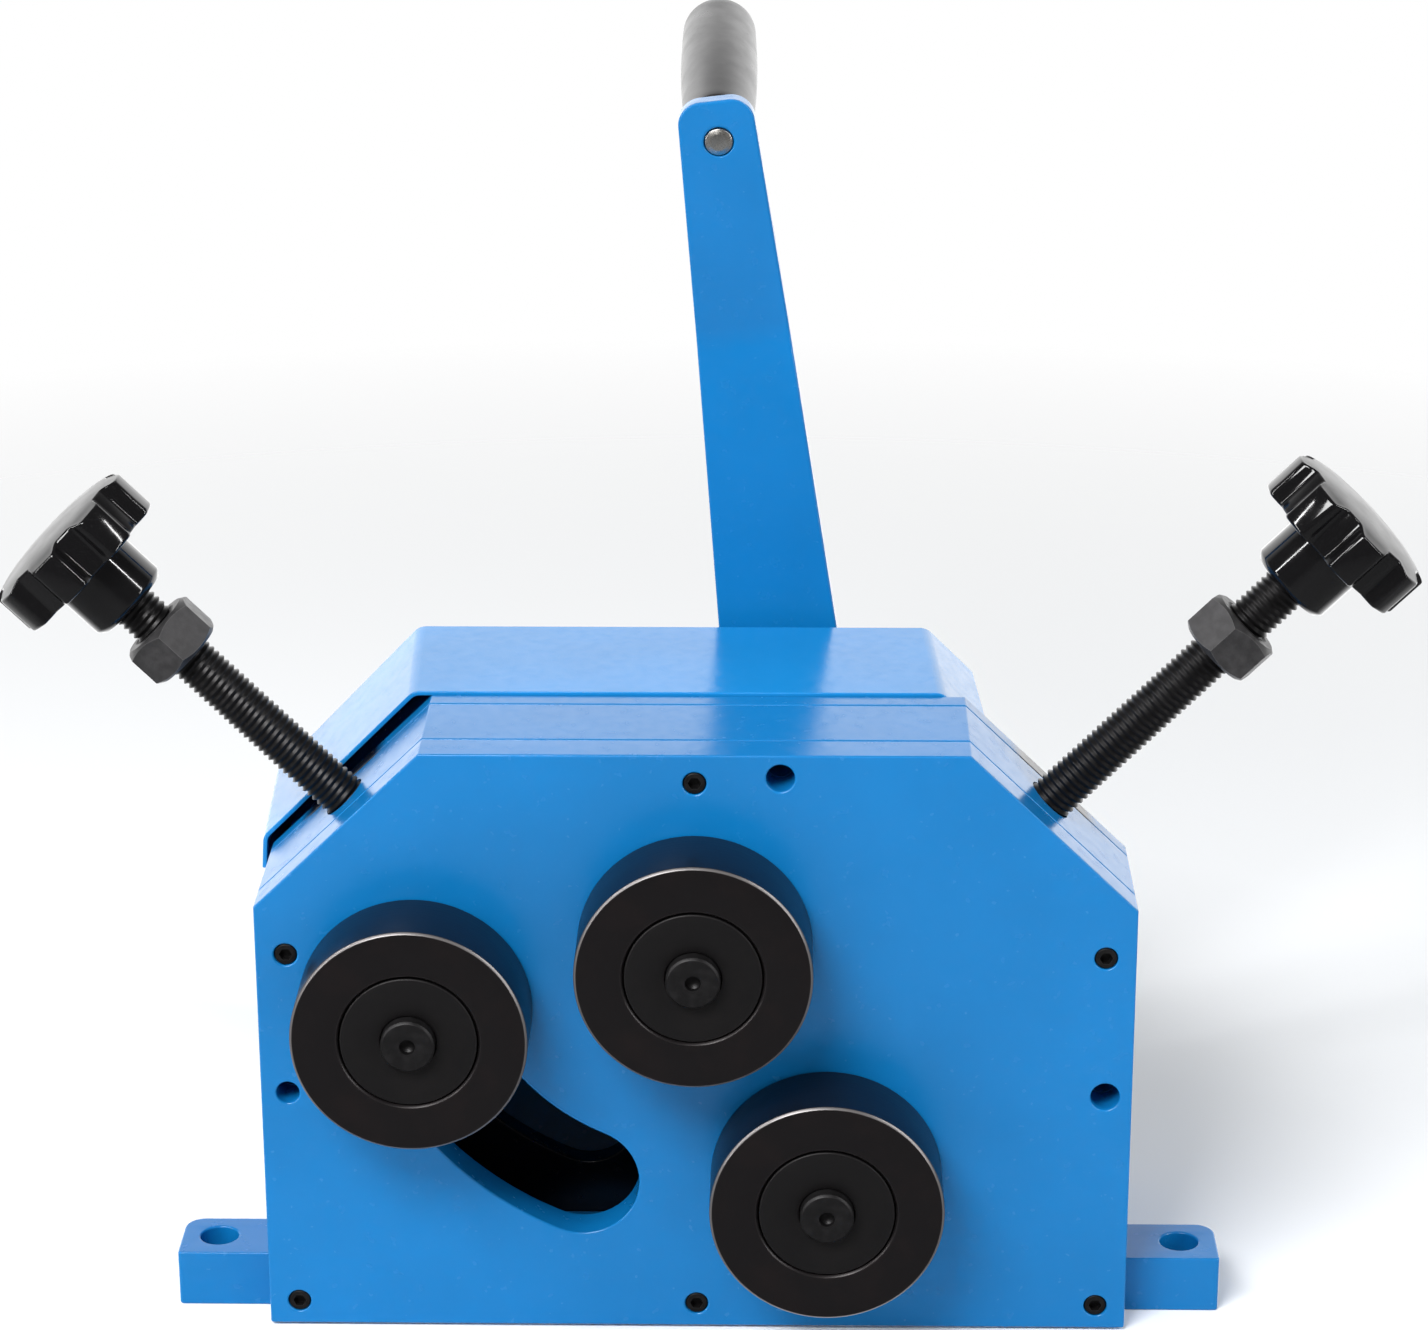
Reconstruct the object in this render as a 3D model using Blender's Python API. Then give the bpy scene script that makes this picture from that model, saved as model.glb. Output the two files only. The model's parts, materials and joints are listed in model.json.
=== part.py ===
"""Ring roller: three rolls on a boxed steel housing, worked by a hand crank.

Metres, +Z up. X runs to the right along the front plate, Y runs backwards.
The origin is the middle of the base bar's underside. The depths below are
measured from the front plate's face, and one empty shifts them all.
"""
import math

import bmesh
import bpy
from mathutils import Vector

# Play between pieces that touch or slide on each other
PLAY = 0.0003
# How far a cutter runs past the face it cuts
OVERRUN = 0.002

# Front plate, which sits a little above the underside of the base bar
PLATE_LIFT = 0.0010
PLATE_WIDTH = 0.3000
PLATE_HEIGHT = 0.2145
PLATE_THICKNESS = 0.0145
CORNER_WIDTH = 0.0575
CORNER_RISE = 0.0558
PLATE_EDGE = 0.0006

# Frame behind the front plate, and the plates behind that
FRAME_DEPTH = 0.0342
FRAME_WALL = 0.0160
SCREW_BLOCK_WIDTH = 0.0360
SCREW_BLOCK_DEPTH = 0.0280
SCREW_BLOCK_EASE = 0.0005
MIDDLE_THICKNESS = 0.0090
GEAR_ROOM = 0.0555
REAR_PLATE_THICKNESS = 0.0125
REAR_PLATE_LOWER = 0.0025
REAR_LEFT_INSET = 0.0040
REAR_RIGHT_INSET = 0.0160
REAR_LEFT_CORNER = 0.0540
REAR_RIGHT_CORNER = 0.0640
COVER_THICKNESS = 0.0016
PILLAR_RADIUS = 0.0080
# Places of the pillars as shares of the rear plate's half width and of its height up to the corners
PILLAR_SHARES = ((-0.86, 0.161), (0.88, 0.172), (-0.86, 0.939), (0.88, 0.945))

# Base bar with its two mounting lugs
BASE_LENGTH = 0.3686
BASE_HEIGHT = 0.0205
LUG_DEPTH = 0.0267
LUG_BACK_RADIUS = 0.0070
LUG_FRONT_RADIUS = 0.0015
LUG_HOLE_RADIUS = 0.00675
LUG_HOLE_EDGE = 0.0133
# How far the bar's top is milled down between its lugs, where the frame stands
SEAT_DEPTH = 0.0004

# Rolls, and how far the centre roll's axis lies above the middle of the front plate
ROLL_RADIUS = 0.0400
ROLL_FRONT = -0.0296
ROLL_BACK = -0.0006
ROLL_EDGE = 0.0008
CENTRE_ROLL_RISE = 0.03895
ROLL_PITCH = 0.0980
DRIVE_ANGLE = math.radians(62.6)
SWING_RADIUS = 0.0985
SWING_REST = math.radians(13.95)
SWING_UP = math.radians(6.0)
SWING_DOWN = math.radians(52.0)
CAP_RADIUS = 0.0231
CAP_DEPTH = 0.0070
CAP_GROOVE = 0.0005
CAP_SUNK = 0.0002
NUB_RADIUS = 0.0092
NUB_REACH = 0.0040
CENTRE_HOLE_RADIUS = 0.0027
CENTRE_HOLE_DEPTH = 0.0040
SHAFT_RADIUS = 0.0125
SWING_SHAFT_RADIUS = 0.0100

# Curved slots for the swinging shaft
SLOT_HALF_WIDTH = 0.0200
MIDDLE_SLOT_HALF_WIDTH = 0.0170
SLOT_LOW = math.radians(66.2)
SLOT_HIGH = math.radians(7.5)

# Bronze bushes
BUSH_WALL = 0.0045
SWING_BUSH_WALL = 0.0028
BUSH_SET_BACK = 0.0004

# Rocker that carries the swinging roll, and its two cams
ROCKER_FRONT_SPACE = 0.0025
ROCKER_BACK_SPACE = 0.0017
ROCKER_THICKNESS = 0.0200
ROCKER_HUB_RADIUS = 0.0240
SWING_BOSS_RADIUS = 0.0175
CAM_BELOW_BOSS = 0.0013
RAISING_REACH = 0.0180
CAM_STEPS = 14
# Underside of the raising cam's arm, as shares of the cam's base radius
TOE_SHARES = ((0.87, -1.08), (0.14, -0.35))

# Adjusting screws, one square to each sloping corner
SCREW_LEAN = math.radians(45.0)
SCREW_RADIUS = 0.0080
SCREW_IN_KNOB = 0.0120
SCREW_BLOCK_SUNK = 0.0024
PAD_RADIUS = 0.0075
PAD_THICKNESS = 0.0060
LEFT_HUB = 0.0985
RIGHT_HUB = 0.1095
NUT_FLATS = 0.0265
NUT_HEIGHT = 0.0155
NUT_BEVEL = 0.0022
NUT_POINTS_PER_FLAT = 4
LEFT_NUT = 0.0727
RIGHT_NUT = 0.0760
LEFT_NUT_TURN = math.radians(11.0)
RIGHT_NUT_TURN = math.radians(38.0)

# Star knobs
KNOB_RADIUS = 0.0300
KNOB_LOBES = 8
KNOB_LOBE_DEPTH = 0.0042
KNOB_POINTS_PER_LOBE = 5
KNOB_HUB_RADIUS = 0.0150
KNOB_HUB_TAPER = 0.0022
KNOB_HUB_LENGTH = 0.0185
KNOB_RIM = 0.0150
KNOB_RIM_ROUND = 0.0010
KNOB_DOME = 0.0045
# Widths and heights along the dome, and how fast the lobes fade into it
KNOB_DOME_SHARES = ((0.88, 0.36), (0.62, 0.74), (0.30, 0.94))
KNOB_LOBE_FADE = 8
KNOB_LOBE_SHARPNESS = 2

# Gear pair between the centre roll and the driven roll
GEAR_TEETH = 28
GEAR_PRESSURE = math.radians(20.0)
GEAR_SPACE = 0.0137
GEAR_WIDTH = 0.0200
GEAR_ADDENDUM = 0.0034
GEAR_DEDENDUM = 0.0043
GEAR_BACKLASH = 0.0004
GEAR_HUB_RADIUS = 0.0200
GEAR_HUB_LENGTH = 0.0120
FLANK_SHARES = (0.0, 0.55, 1.0)

# Collar on the tail of the swinging shaft
COLLAR_RADIUS = 0.0210
COLLAR_WIDTH = 0.0060
COLLAR_SPACE = 0.0010

# Crank lever, its grip and its fixings
CRANK_SPACE = 0.0032
CRANK_THICKNESS = 0.0100
CRANK_LEAN = math.radians(6.67)
CRANK_RADIUS = 0.3351
CRANK_END_RADIUS = 0.0290
CRANK_WIDE = 0.0530
CRANK_NARROW = 0.0277
CRANK_TIP = 0.0150
CRANK_TIP_ROUND = 0.0080
CRANK_FLAT = 0.0340
CRANK_BEND = 0.2620
CRANK_BEND_BACK = 0.0165
CRANK_TIP_FORWARD = 0.0090
CRANK_SEAT_RADIUS = 0.0100
CRANK_WASHER_RADIUS = 0.0160
CRANK_WASHER_THICKNESS = 0.0030
CRANK_NUT_FLATS = 0.0300
CRANK_NUT_HEIGHT = 0.0160
CRANK_STUD_OVER = 0.0030
# Where the flat end is cut into straight runs, as shares of its length
CRANK_FLAT_SHARES = (0.2, 0.4, 0.6, 0.8, 1.0)
CRANK_END_STEPS = 10
CRANK_TIP_STEPS = 6

GRIP_LENGTH = 0.1116
GRIP_END_RADIUS = 0.0122
GRIP_FAR_RADIUS = 0.0137
GRIP_MID_RADIUS = 0.0140
GRIP_ROUND = 0.0030
GRIP_STEPS = 8
GRIP_BORE = 0.0053
GRIP_POCKET_RADIUS = 0.0085
GRIP_POCKET_DEPTH = 0.0060
SPINDLE_RADIUS = 0.0049
SPINDLE_HEAD_RADIUS = 0.0080
SPINDLE_HEAD = 0.0040
SPINDLE_RIVET = 0.0006
NECK_RADIUS = 0.0095
NECK_THICKNESS = 0.0035

# Screws let in flush with the front plate, and the open holes beside them
FLUSH_RADIUS = 0.0037
FLUSH_LENGTH = 0.0240
FLUSH_SUNK = 0.0004
FLUSH_SOCKET_FLATS = 0.0040
FLUSH_SOCKET_DEPTH = 0.0030
FLUSH_SIDE_EDGE = 0.0104
FLUSH_TOP_EDGE = 0.0102
FLUSH_LOW_EDGE = 0.0087
FLUSH_CORNER_DROP = 0.0175
OPEN_TOP_RADIUS = 0.00485
OPEN_TOP_X = 0.0288
OPEN_TOP_EDGE = 0.0082
OPEN_RIGHT_RADIUS = 0.0050
OPEN_LEFT_RADIUS = 0.0040
OPEN_SIDE_EDGE = 0.0093
OPEN_SIDE_HEIGHT = 0.0894
OPEN_HOLE_DEPTH = 0.0192

# Sheet hood over the top and the left corner, splayed a little to the rear
HOOD_THICKNESS = 0.0016
HOOD_BEND = 0.0060
HOOD_BEND_STEPS = 4
HOOD_RISE = 0.0010
HOOD_OVERHANG = 0.0036
HOOD_SKIRT_DROP = 0.0119
HOOD_SKIRT_FLARE = 0.0007
HOOD_LEFT_SLOPE_WIDTH = 0.0543
HOOD_LEFT_SLOPE_DROP = 0.0546
HOOD_RIGHT_SHORT = 0.0074
HOOD_RIGHT_SLOPE = 0.0169
HOOD_SPLAY = 0.0036
HOOD_SPLAY_DROP = 0.0020
HOOD_FLANGE_DROP = 0.0160
HOOD_FLANGE_INSET = 0.0180
HOOD_WALL_WIDTH = 0.0135
HOOD_WALL_OVERLAP = 0.0030
HOOD_FOLD_EASE = 0.0002
HOOD_SCREW_INSET = 0.0250
HOOD_SCREW_DROP = 0.0105
HOOD_SCREW_RADIUS = 0.0024
HOOD_SCREW_HEAD_RADIUS = 0.0045
HOOD_SCREW_HEAD = 0.0028
HOOD_SCREW_GRIP = 0.0080

# Roundness of the turned pieces
SMALL_SIDES = 14
COARSE_SIDES = 20
FINE_SIDES = 40
FULL_TURN = 2.0 * math.pi
MERGE = 0.000001

# Places worked out from the sizes above
CENTRE_ROLL_HEIGHT = 0.5 * PLATE_HEIGHT + CENTRE_ROLL_RISE
REAR_PLATE_TOP = PLATE_HEIGHT - REAR_PLATE_LOWER
REAR_PLATE_LEFT = 0.5 * PLATE_WIDTH - REAR_LEFT_INSET
REAR_PLATE_RIGHT = 0.5 * PLATE_WIDTH - REAR_RIGHT_INSET
FRAME_FRONT = PLATE_THICKNESS + PLAY
FRAME_BACK = FRAME_FRONT + FRAME_DEPTH
FRAME_MIDDLE = FRAME_FRONT + 0.5 * FRAME_DEPTH
LUG_HOLE_X = 0.5 * BASE_LENGTH - LUG_HOLE_EDGE
LUG_HOLE_Y = FRAME_FRONT + 0.5 * LUG_DEPTH
MIDDLE_FRONT = FRAME_BACK + PLAY
MIDDLE_BACK = MIDDLE_FRONT + MIDDLE_THICKNESS
REAR_PLATE_FRONT = MIDDLE_BACK + GEAR_ROOM
REAR_BACK = REAR_PLATE_FRONT + REAR_PLATE_THICKNESS
GEAR_FRONT = MIDDLE_BACK + GEAR_SPACE
HOOD_FRONT = MIDDLE_BACK + PLAY
HOOD_BACK = REAR_BACK + PLAY + HOOD_THICKNESS
CRANK_FRONT = HOOD_BACK + CRANK_SPACE
ROCKER_FRONT = FRAME_FRONT + ROCKER_FRONT_SPACE
ROCKER_BACK = FRAME_BACK - ROCKER_BACK_SPACE
SCREW_HOLE_RADIUS = SCREW_RADIUS + PLAY
FLUSH_HOLE_RADIUS = FLUSH_RADIUS + PLAY
CENTRE = Vector((0.0, PLATE_LIFT + CENTRE_ROLL_HEIGHT))
DRIVE = CENTRE + ROLL_PITCH * Vector((math.cos(DRIVE_ANGLE), -math.sin(DRIVE_ANGLE)))
SWING = CENTRE + SWING_RADIUS * Vector((-math.cos(SWING_REST), -math.sin(SWING_REST)))
CORNER_MIDDLE_X = 0.5 * (PLATE_WIDTH - CORNER_WIDTH)
CORNER_MIDDLE_Z = PLATE_LIFT + PLATE_HEIGHT - 0.5 * CORNER_RISE
SIN_LEAN = math.sin(SCREW_LEAN)
COS_LEAN = math.cos(SCREW_LEAN)
# Distance of each screw's line from the rocker's pivot, and of its foot from the corner
CAM_BASE = CORNER_MIDDLE_X * COS_LEAN - (CORNER_MIDDLE_Z - CENTRE.y) * SIN_LEAN
FOOT_DEPTH = CORNER_MIDDLE_X * SIN_LEAN + (CORNER_MIDDLE_Z - CENTRE.y) * COS_LEAN
PIVOT_BUSH_RADIUS = SHAFT_RADIUS + BUSH_WALL
# How far up the left screw's line its cam stands, just short of the swinging roll's boss
LOWERING_REACH = SWING_RADIUS * math.sin(SCREW_LEAN - SWING_REST) + SWING_BOSS_RADIUS - CAM_BELOW_BOSS

for old in list(bpy.data.objects):
    bpy.data.objects.remove(old, do_unlink=True)


def paint(name, colour, roughness, metallic=0.0):
    """A plain material of one colour."""
    made = bpy.data.materials.new(name)
    made.use_nodes = True
    shader = made.node_tree.nodes["Principled BSDF"]
    shader.inputs["Base Color"].default_value = (*colour, 1.0)
    shader.inputs["Roughness"].default_value = roughness
    shader.inputs["Metallic"].default_value = metallic
    made.diffuse_color = (*colour, 1.0)
    return made


BLUE = paint("blue_enamel", (0.019, 0.205, 0.546), 0.38)
LIGHT_BLUE = paint("blue_enamel_hood", (0.030, 0.235, 0.560), 0.34)
ROLL_STEEL = paint("blackened_roll_steel", (0.014, 0.012, 0.013), 0.32, 0.85)
SHAFT_STEEL = paint("ground_steel", (0.180, 0.175, 0.170), 0.30, 1.0)
BLACK_STEEL = paint("black_oxide_steel", (0.012, 0.011, 0.012), 0.42, 0.8)
NUT_STEEL = paint("dark_nut_steel", (0.052, 0.050, 0.052), 0.45, 0.7)
KNOB_PLASTIC = paint("black_knob_plastic", (0.006, 0.006, 0.007), 0.14)
GRIP_PLASTIC = paint("grey_grip_plastic", (0.110, 0.107, 0.112), 0.26)
BRONZE = paint("bearing_bronze", (0.400, 0.230, 0.080), 0.38, 1.0)
BRIGHT_STEEL = paint("bright_zinc_steel", (0.420, 0.410, 0.390), 0.30, 1.0)


housing_origin = bpy.data.objects.new("housing_origin", None)
housing_origin.location = (0.0, -FRAME_MIDDLE, 0.0)
bpy.context.scene.collection.objects.link(housing_origin)


def finish(name, shape, material, parent=housing_origin, smooth=True):
    """Turn a bmesh into a named object with outward faces."""
    bmesh.ops.recalc_face_normals(shape, faces=shape.faces)
    mesh = bpy.data.meshes.new(name)
    shape.to_mesh(mesh)
    shape.free()
    if smooth:
        mesh.shade_smooth()
        mesh.set_sharp_from_angle(angle=math.radians(32.0))
    made = bpy.data.objects.new(name, mesh)
    bpy.context.scene.collection.objects.link(made)
    if material:
        mesh.materials.append(material)
    made.parent = parent
    return made


def axis_empty(name, place, rotation=(0.0, 0.0, 0.0), parent=housing_origin):
    """An empty on a joint's axis, which carries the pieces that move about it."""
    made = bpy.data.objects.new(name, None)
    made.empty_display_size = SHAFT_RADIUS
    made.location = place
    made.rotation_euler = rotation
    made.parent = parent
    bpy.context.scene.collection.objects.link(made)
    return made


def extruded(outline, start, rise, along="Y"):
    """A slab of an outline in XZ run along Y, or of an outline in XY run along Z."""
    shape = bmesh.new()
    if along == "Y":
        corners = [shape.verts.new((u, start, v)) for u, v in outline]
        push = Vector((0.0, rise, 0.0))
    else:
        corners = [shape.verts.new((u, v, start)) for u, v in outline]
        push = Vector((0.0, 0.0, rise))
    face = shape.faces.new(corners)
    grown = bmesh.ops.extrude_face_region(shape, geom=[face])
    moved = [item for item in grown["geom"] if isinstance(item, bmesh.types.BMVert)]
    bmesh.ops.translate(shape, vec=push, verts=moved)
    return shape


def turned(profile, sides, ring=False):
    """Spin a profile of (radius, height) points about Z; a ring's profile closes on itself."""
    shape = bmesh.new()
    points = [shape.verts.new((radius, 0.0, height)) for radius, height in profile]
    edges = [shape.edges.new(pair) for pair in zip(points, points[1:])]
    if ring:
        edges.append(shape.edges.new((points[-1], points[0])))
    bmesh.ops.spin(
        shape, geom=points + edges, cent=(0.0, 0.0, 0.0), axis=(0.0, 0.0, 1.0),
        angle=FULL_TURN, steps=sides, use_merge=True)
    bmesh.ops.remove_doubles(shape, verts=shape.verts, dist=MERGE)
    return shape


def rod(radius, low, high, sides=COARSE_SIDES, bevel=0.0):
    """A plain round bar about Z, with its end edges taken off by bevel."""
    profile = [(0.0, low), (radius - bevel, low)]
    if bevel:
        profile += [(radius, low + bevel), (radius, high - bevel)]
    profile += [(radius - bevel, high), (0.0, high)]
    return turned(profile, sides)


def tube(inner, outer, low, high, sides=COARSE_SIDES, bevel=0.0):
    """A round sleeve about Z."""
    profile = [(inner, low), (outer - bevel, low)]
    if bevel:
        profile += [(outer, low + bevel), (outer, high - bevel)]
    profile += [(outer - bevel, high), (inner, high)]
    return turned(profile, sides, ring=True)


def hexagon(flats, turn=0.0):
    """Corners of a hexagon measured across its flats."""
    radius = 0.5 * flats / math.cos(math.pi / 6)
    return [
        (radius * math.cos(turn + step * math.pi / 3), radius * math.sin(turn + step * math.pi / 3))
        for step in range(6)]


def arc(centre, radius, start, end, steps):
    """Points along an arc in steps, ends included."""
    return [
        (centre[0] + radius * math.cos(start + (end - start) * step / steps),
         centre[1] + radius * math.sin(start + (end - start) * step / steps))
        for step in range(steps + 1)]


def rounded(corners, radii, steps=4):
    """An outline whose corners are rounded, each by its own radius."""
    outline = []
    count = len(corners)
    for index, corner in enumerate(corners):
        here = Vector(corner)
        radius = radii[index]
        if not radius:
            outline.append(tuple(here))
            continue
        back = (Vector(corners[index - 1]) - here).normalized()
        ahead = (Vector(corners[(index + 1) % count]) - here).normalized()
        half_angle = 0.5 * back.angle(ahead)
        reach = radius / math.tan(half_angle)
        middle = here + (back + ahead).normalized() * radius / math.sin(half_angle)
        first = here + back * reach - middle
        turn = first.angle_signed(here + ahead * reach - middle)
        for step in range(steps + 1):
            swing = -turn * step / steps
            outline.append((
                middle.x + first.x * math.cos(swing) - first.y * math.sin(swing),
                middle.y + first.x * math.sin(swing) + first.y * math.cos(swing)))
    return outline


def boolean(target, tool, operation="DIFFERENCE"):
    """Cut a tool out of a target, or join it on, and hide the tool."""
    step = target.modifiers.new(tool.name, "BOOLEAN")
    step.operation = operation
    step.solver = "EXACT"
    step.object = tool
    tool.hide_render = True
    tool.display_type = "WIRE"


def bore(target, x, z, radius, start, end, sides=COARSE_SIDES):
    """A round hole along Y through a piece."""
    name = "bore_{}_{}".format(target.name, len(target.modifiers))
    tool = finish(name, rod(radius, start, end, sides), None)
    tool.location = (x, 0.0, z)
    tool.rotation_euler = (-math.pi / 2, 0.0, 0.0)
    boolean(target, tool)


def slab_cut(target, outline, start, end):
    """A cut of any outline in XZ along Y."""
    name = "cut_{}_{}".format(target.name, len(target.modifiers))
    boolean(target, finish(name, extruded(outline, start, end - start), None, smooth=False))


def joined(target, shape):
    """Join another shape onto a piece."""
    name = "join_{}_{}".format(target.name, len(target.modifiers))
    tool = finish(name, shape, None, target.parent)
    boolean(target, tool, "UNION")


def eased(target, width=PLATE_EDGE):
    """Take the sharpness off the edges of a flat piece."""
    step = target.modifiers.new("eased_edges", "BEVEL")
    step.width = width
    step.segments = 1
    step.limit_method = "ANGLE"
    step.angle_limit = math.radians(40.0)


def house_outline(half_left, half_right, bottom, top, left_corner, right_corner):
    """A plate with sloping top corners, each given by its width and rise."""
    return [
        (-half_left, bottom), (-half_left, top - left_corner[1]), (-half_left + left_corner[0], top),
        (half_right - right_corner[0], top), (half_right, top - right_corner[1]), (half_right, bottom)]


def slot_outline(half_width):
    """Curved slot about the centre roll's axis, for the swinging shaft."""
    steep = math.pi + SLOT_LOW
    shallow = math.pi + SLOT_HIGH
    low = Vector((math.cos(steep), math.sin(steep))) * SWING_RADIUS + CENTRE
    high = Vector((math.cos(shallow), math.sin(shallow))) * SWING_RADIUS + CENTRE
    outline = arc(CENTRE, SWING_RADIUS + half_width, shallow, steep, 14)
    outline += arc(low, half_width, steep, steep + math.pi, 9)[1:-1]
    outline += arc(CENTRE, SWING_RADIUS - half_width, steep, shallow, 11)
    outline += arc(high, half_width, shallow + math.pi, shallow + FULL_TURN, 9)[1:-1]
    return outline


# Housing plates
corner = (CORNER_WIDTH, CORNER_RISE)
half_plate = 0.5 * PLATE_WIDTH
plate_top = PLATE_LIFT + PLATE_HEIGHT
plate_outline = house_outline(half_plate, half_plate, PLATE_LIFT, plate_top, corner, corner)

front_plate = finish("front_plate", extruded(plate_outline, 0.0, PLATE_THICKNESS), BLUE)
eased(front_plate)
slab_cut(front_plate, slot_outline(SLOT_HALF_WIDTH), -OVERRUN, PLATE_THICKNESS + OVERRUN)
for place in (CENTRE, DRIVE):
    bore(front_plate, place.x, place.y, PIVOT_BUSH_RADIUS + PLAY, -OVERRUN, PLATE_THICKNESS + OVERRUN)

frame_bottom = BASE_HEIGHT - SEAT_DEPTH + PLAY
inner_corner = (
    CORNER_WIDTH - FRAME_WALL * math.tan(math.pi / 8), CORNER_RISE - FRAME_WALL * math.tan(math.pi / 8))
frame_outline = house_outline(half_plate, half_plate, frame_bottom, plate_top, corner, corner)
inside = house_outline(
    half_plate - FRAME_WALL, half_plate - FRAME_WALL, frame_bottom, plate_top - FRAME_WALL,
    inner_corner, inner_corner)
frame_arch = finish("frame_arch", extruded(frame_outline + inside[::-1], FRAME_FRONT, FRAME_DEPTH), BLUE)

for side in (-1, 1):
    outward = Vector((side * SIN_LEAN, COS_LEAN))
    across = Vector((-COS_LEAN * side, SIN_LEAN)) * 0.5 * SCREW_BLOCK_WIDTH
    root = Vector((side * CORNER_MIDDLE_X, CORNER_MIDDLE_Z)) - outward * SCREW_BLOCK_SUNK
    deep = root - outward * (SCREW_BLOCK_DEPTH - SCREW_BLOCK_SUNK)
    joined(frame_arch, extruded(
        [tuple(root + across), tuple(root - across), tuple(deep - across), tuple(deep + across)],
        FRAME_FRONT + SCREW_BLOCK_EASE, FRAME_DEPTH - 2 * SCREW_BLOCK_EASE))

base_half = 0.5 * BASE_LENGTH
lug_back = FRAME_FRONT + LUG_DEPTH
base_corners = [
    (-base_half, FRAME_FRONT), (base_half, FRAME_FRONT), (base_half, lug_back), (half_plate, lug_back),
    (half_plate, FRAME_BACK), (-half_plate, FRAME_BACK), (-half_plate, lug_back), (-base_half, lug_back)]
base_radii = (
    LUG_FRONT_RADIUS, LUG_FRONT_RADIUS, LUG_BACK_RADIUS, 0.0, 0.0, 0.0, 0.0, LUG_BACK_RADIUS)
base_bar = finish("base_bar", extruded(rounded(base_corners, base_radii), 0.0, BASE_HEIGHT, "Z"), BLUE)
eased(base_bar)
for side in (-1, 1):
    lug_drill = rod(LUG_HOLE_RADIUS, -OVERRUN, BASE_HEIGHT + OVERRUN)
    drill = finish("lug_drill_{}".format(side + 1), lug_drill, None)
    drill.location = (side * LUG_HOLE_X, LUG_HOLE_Y, 0.0)
    boolean(base_bar, drill)

seat_half = half_plate + PLAY
seat = [
    (-seat_half, BASE_HEIGHT - SEAT_DEPTH), (-seat_half, BASE_HEIGHT + OVERRUN),
    (seat_half, BASE_HEIGHT + OVERRUN), (seat_half, BASE_HEIGHT - SEAT_DEPTH)]
slab_cut(base_bar, seat, FRAME_FRONT - OVERRUN, FRAME_BACK + OVERRUN)

middle_plate = finish("middle_plate", extruded(plate_outline, MIDDLE_FRONT, MIDDLE_THICKNESS), BLUE)
eased(middle_plate)
slab_cut(middle_plate, slot_outline(MIDDLE_SLOT_HALF_WIDTH), MIDDLE_FRONT - OVERRUN, MIDDLE_BACK + OVERRUN)
for place in (CENTRE, DRIVE):
    bore(
        middle_plate, place.x, place.y, SHAFT_RADIUS + PLAY + PLAY,
        MIDDLE_FRONT - OVERRUN, MIDDLE_BACK + OVERRUN)

rear_outline = house_outline(
    REAR_PLATE_LEFT, REAR_PLATE_RIGHT, 0.0, PLATE_LIFT + REAR_PLATE_TOP,
    (REAR_LEFT_CORNER, REAR_LEFT_CORNER), (REAR_RIGHT_CORNER, REAR_RIGHT_CORNER))
rear_plate = finish("rear_plate", extruded(rear_outline, REAR_PLATE_FRONT, REAR_PLATE_THICKNESS), BLUE)
eased(rear_plate)
for place in (CENTRE, DRIVE):
    bore(
        rear_plate, place.x, place.y, PIVOT_BUSH_RADIUS + PLAY,
        REAR_PLATE_FRONT - OVERRUN, REAR_BACK + OVERRUN)

about_y = (-math.pi / 2, 0.0, 0.0)
for number, (across_share, up_share) in enumerate(PILLAR_SHARES, 1):
    on_left = across_share < 0
    x = across_share * (REAR_PLATE_LEFT if on_left else REAR_PLATE_RIGHT)
    z = up_share * (REAR_PLATE_TOP - (REAR_LEFT_CORNER if on_left else REAR_RIGHT_CORNER))
    post = rod(PILLAR_RADIUS, MIDDLE_BACK + PLAY, REAR_PLATE_FRONT - PLAY)
    pillar = finish("pillar_{}".format(number), post, BLACK_STEEL)
    pillar.location = (x, 0.0, PLATE_LIFT + z)
    pillar.rotation_euler = about_y

# Bent side covers that close the gear space between the middle and rear plates
cover_top = PLATE_LIFT + REAR_PLATE_TOP
for title, side, half_width, slope in (
        ("left", -1, REAR_PLATE_LEFT, REAR_LEFT_CORNER), ("right", 1, REAR_PLATE_RIGHT, REAR_RIGHT_CORNER)):
    bend_in = COVER_THICKNESS * math.tan(math.pi / 8)
    slant_in = COVER_THICKNESS / math.cos(math.pi / 4)
    line = [
        (half_width, PLATE_LIFT), (half_width, cover_top - slope), (half_width - slope, cover_top),
        (half_width - slope - slant_in, cover_top),
        (half_width - COVER_THICKNESS, cover_top - slope - bend_in),
        (half_width - COVER_THICKNESS, PLATE_LIFT)]
    cover = extruded(
        [(side * x, z) for x, z in line], MIDDLE_BACK + PLAY, REAR_PLATE_FRONT - MIDDLE_BACK - 2 * PLAY)
    finish("{}_cover".format(title), cover, BLUE, smooth=False)

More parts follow.
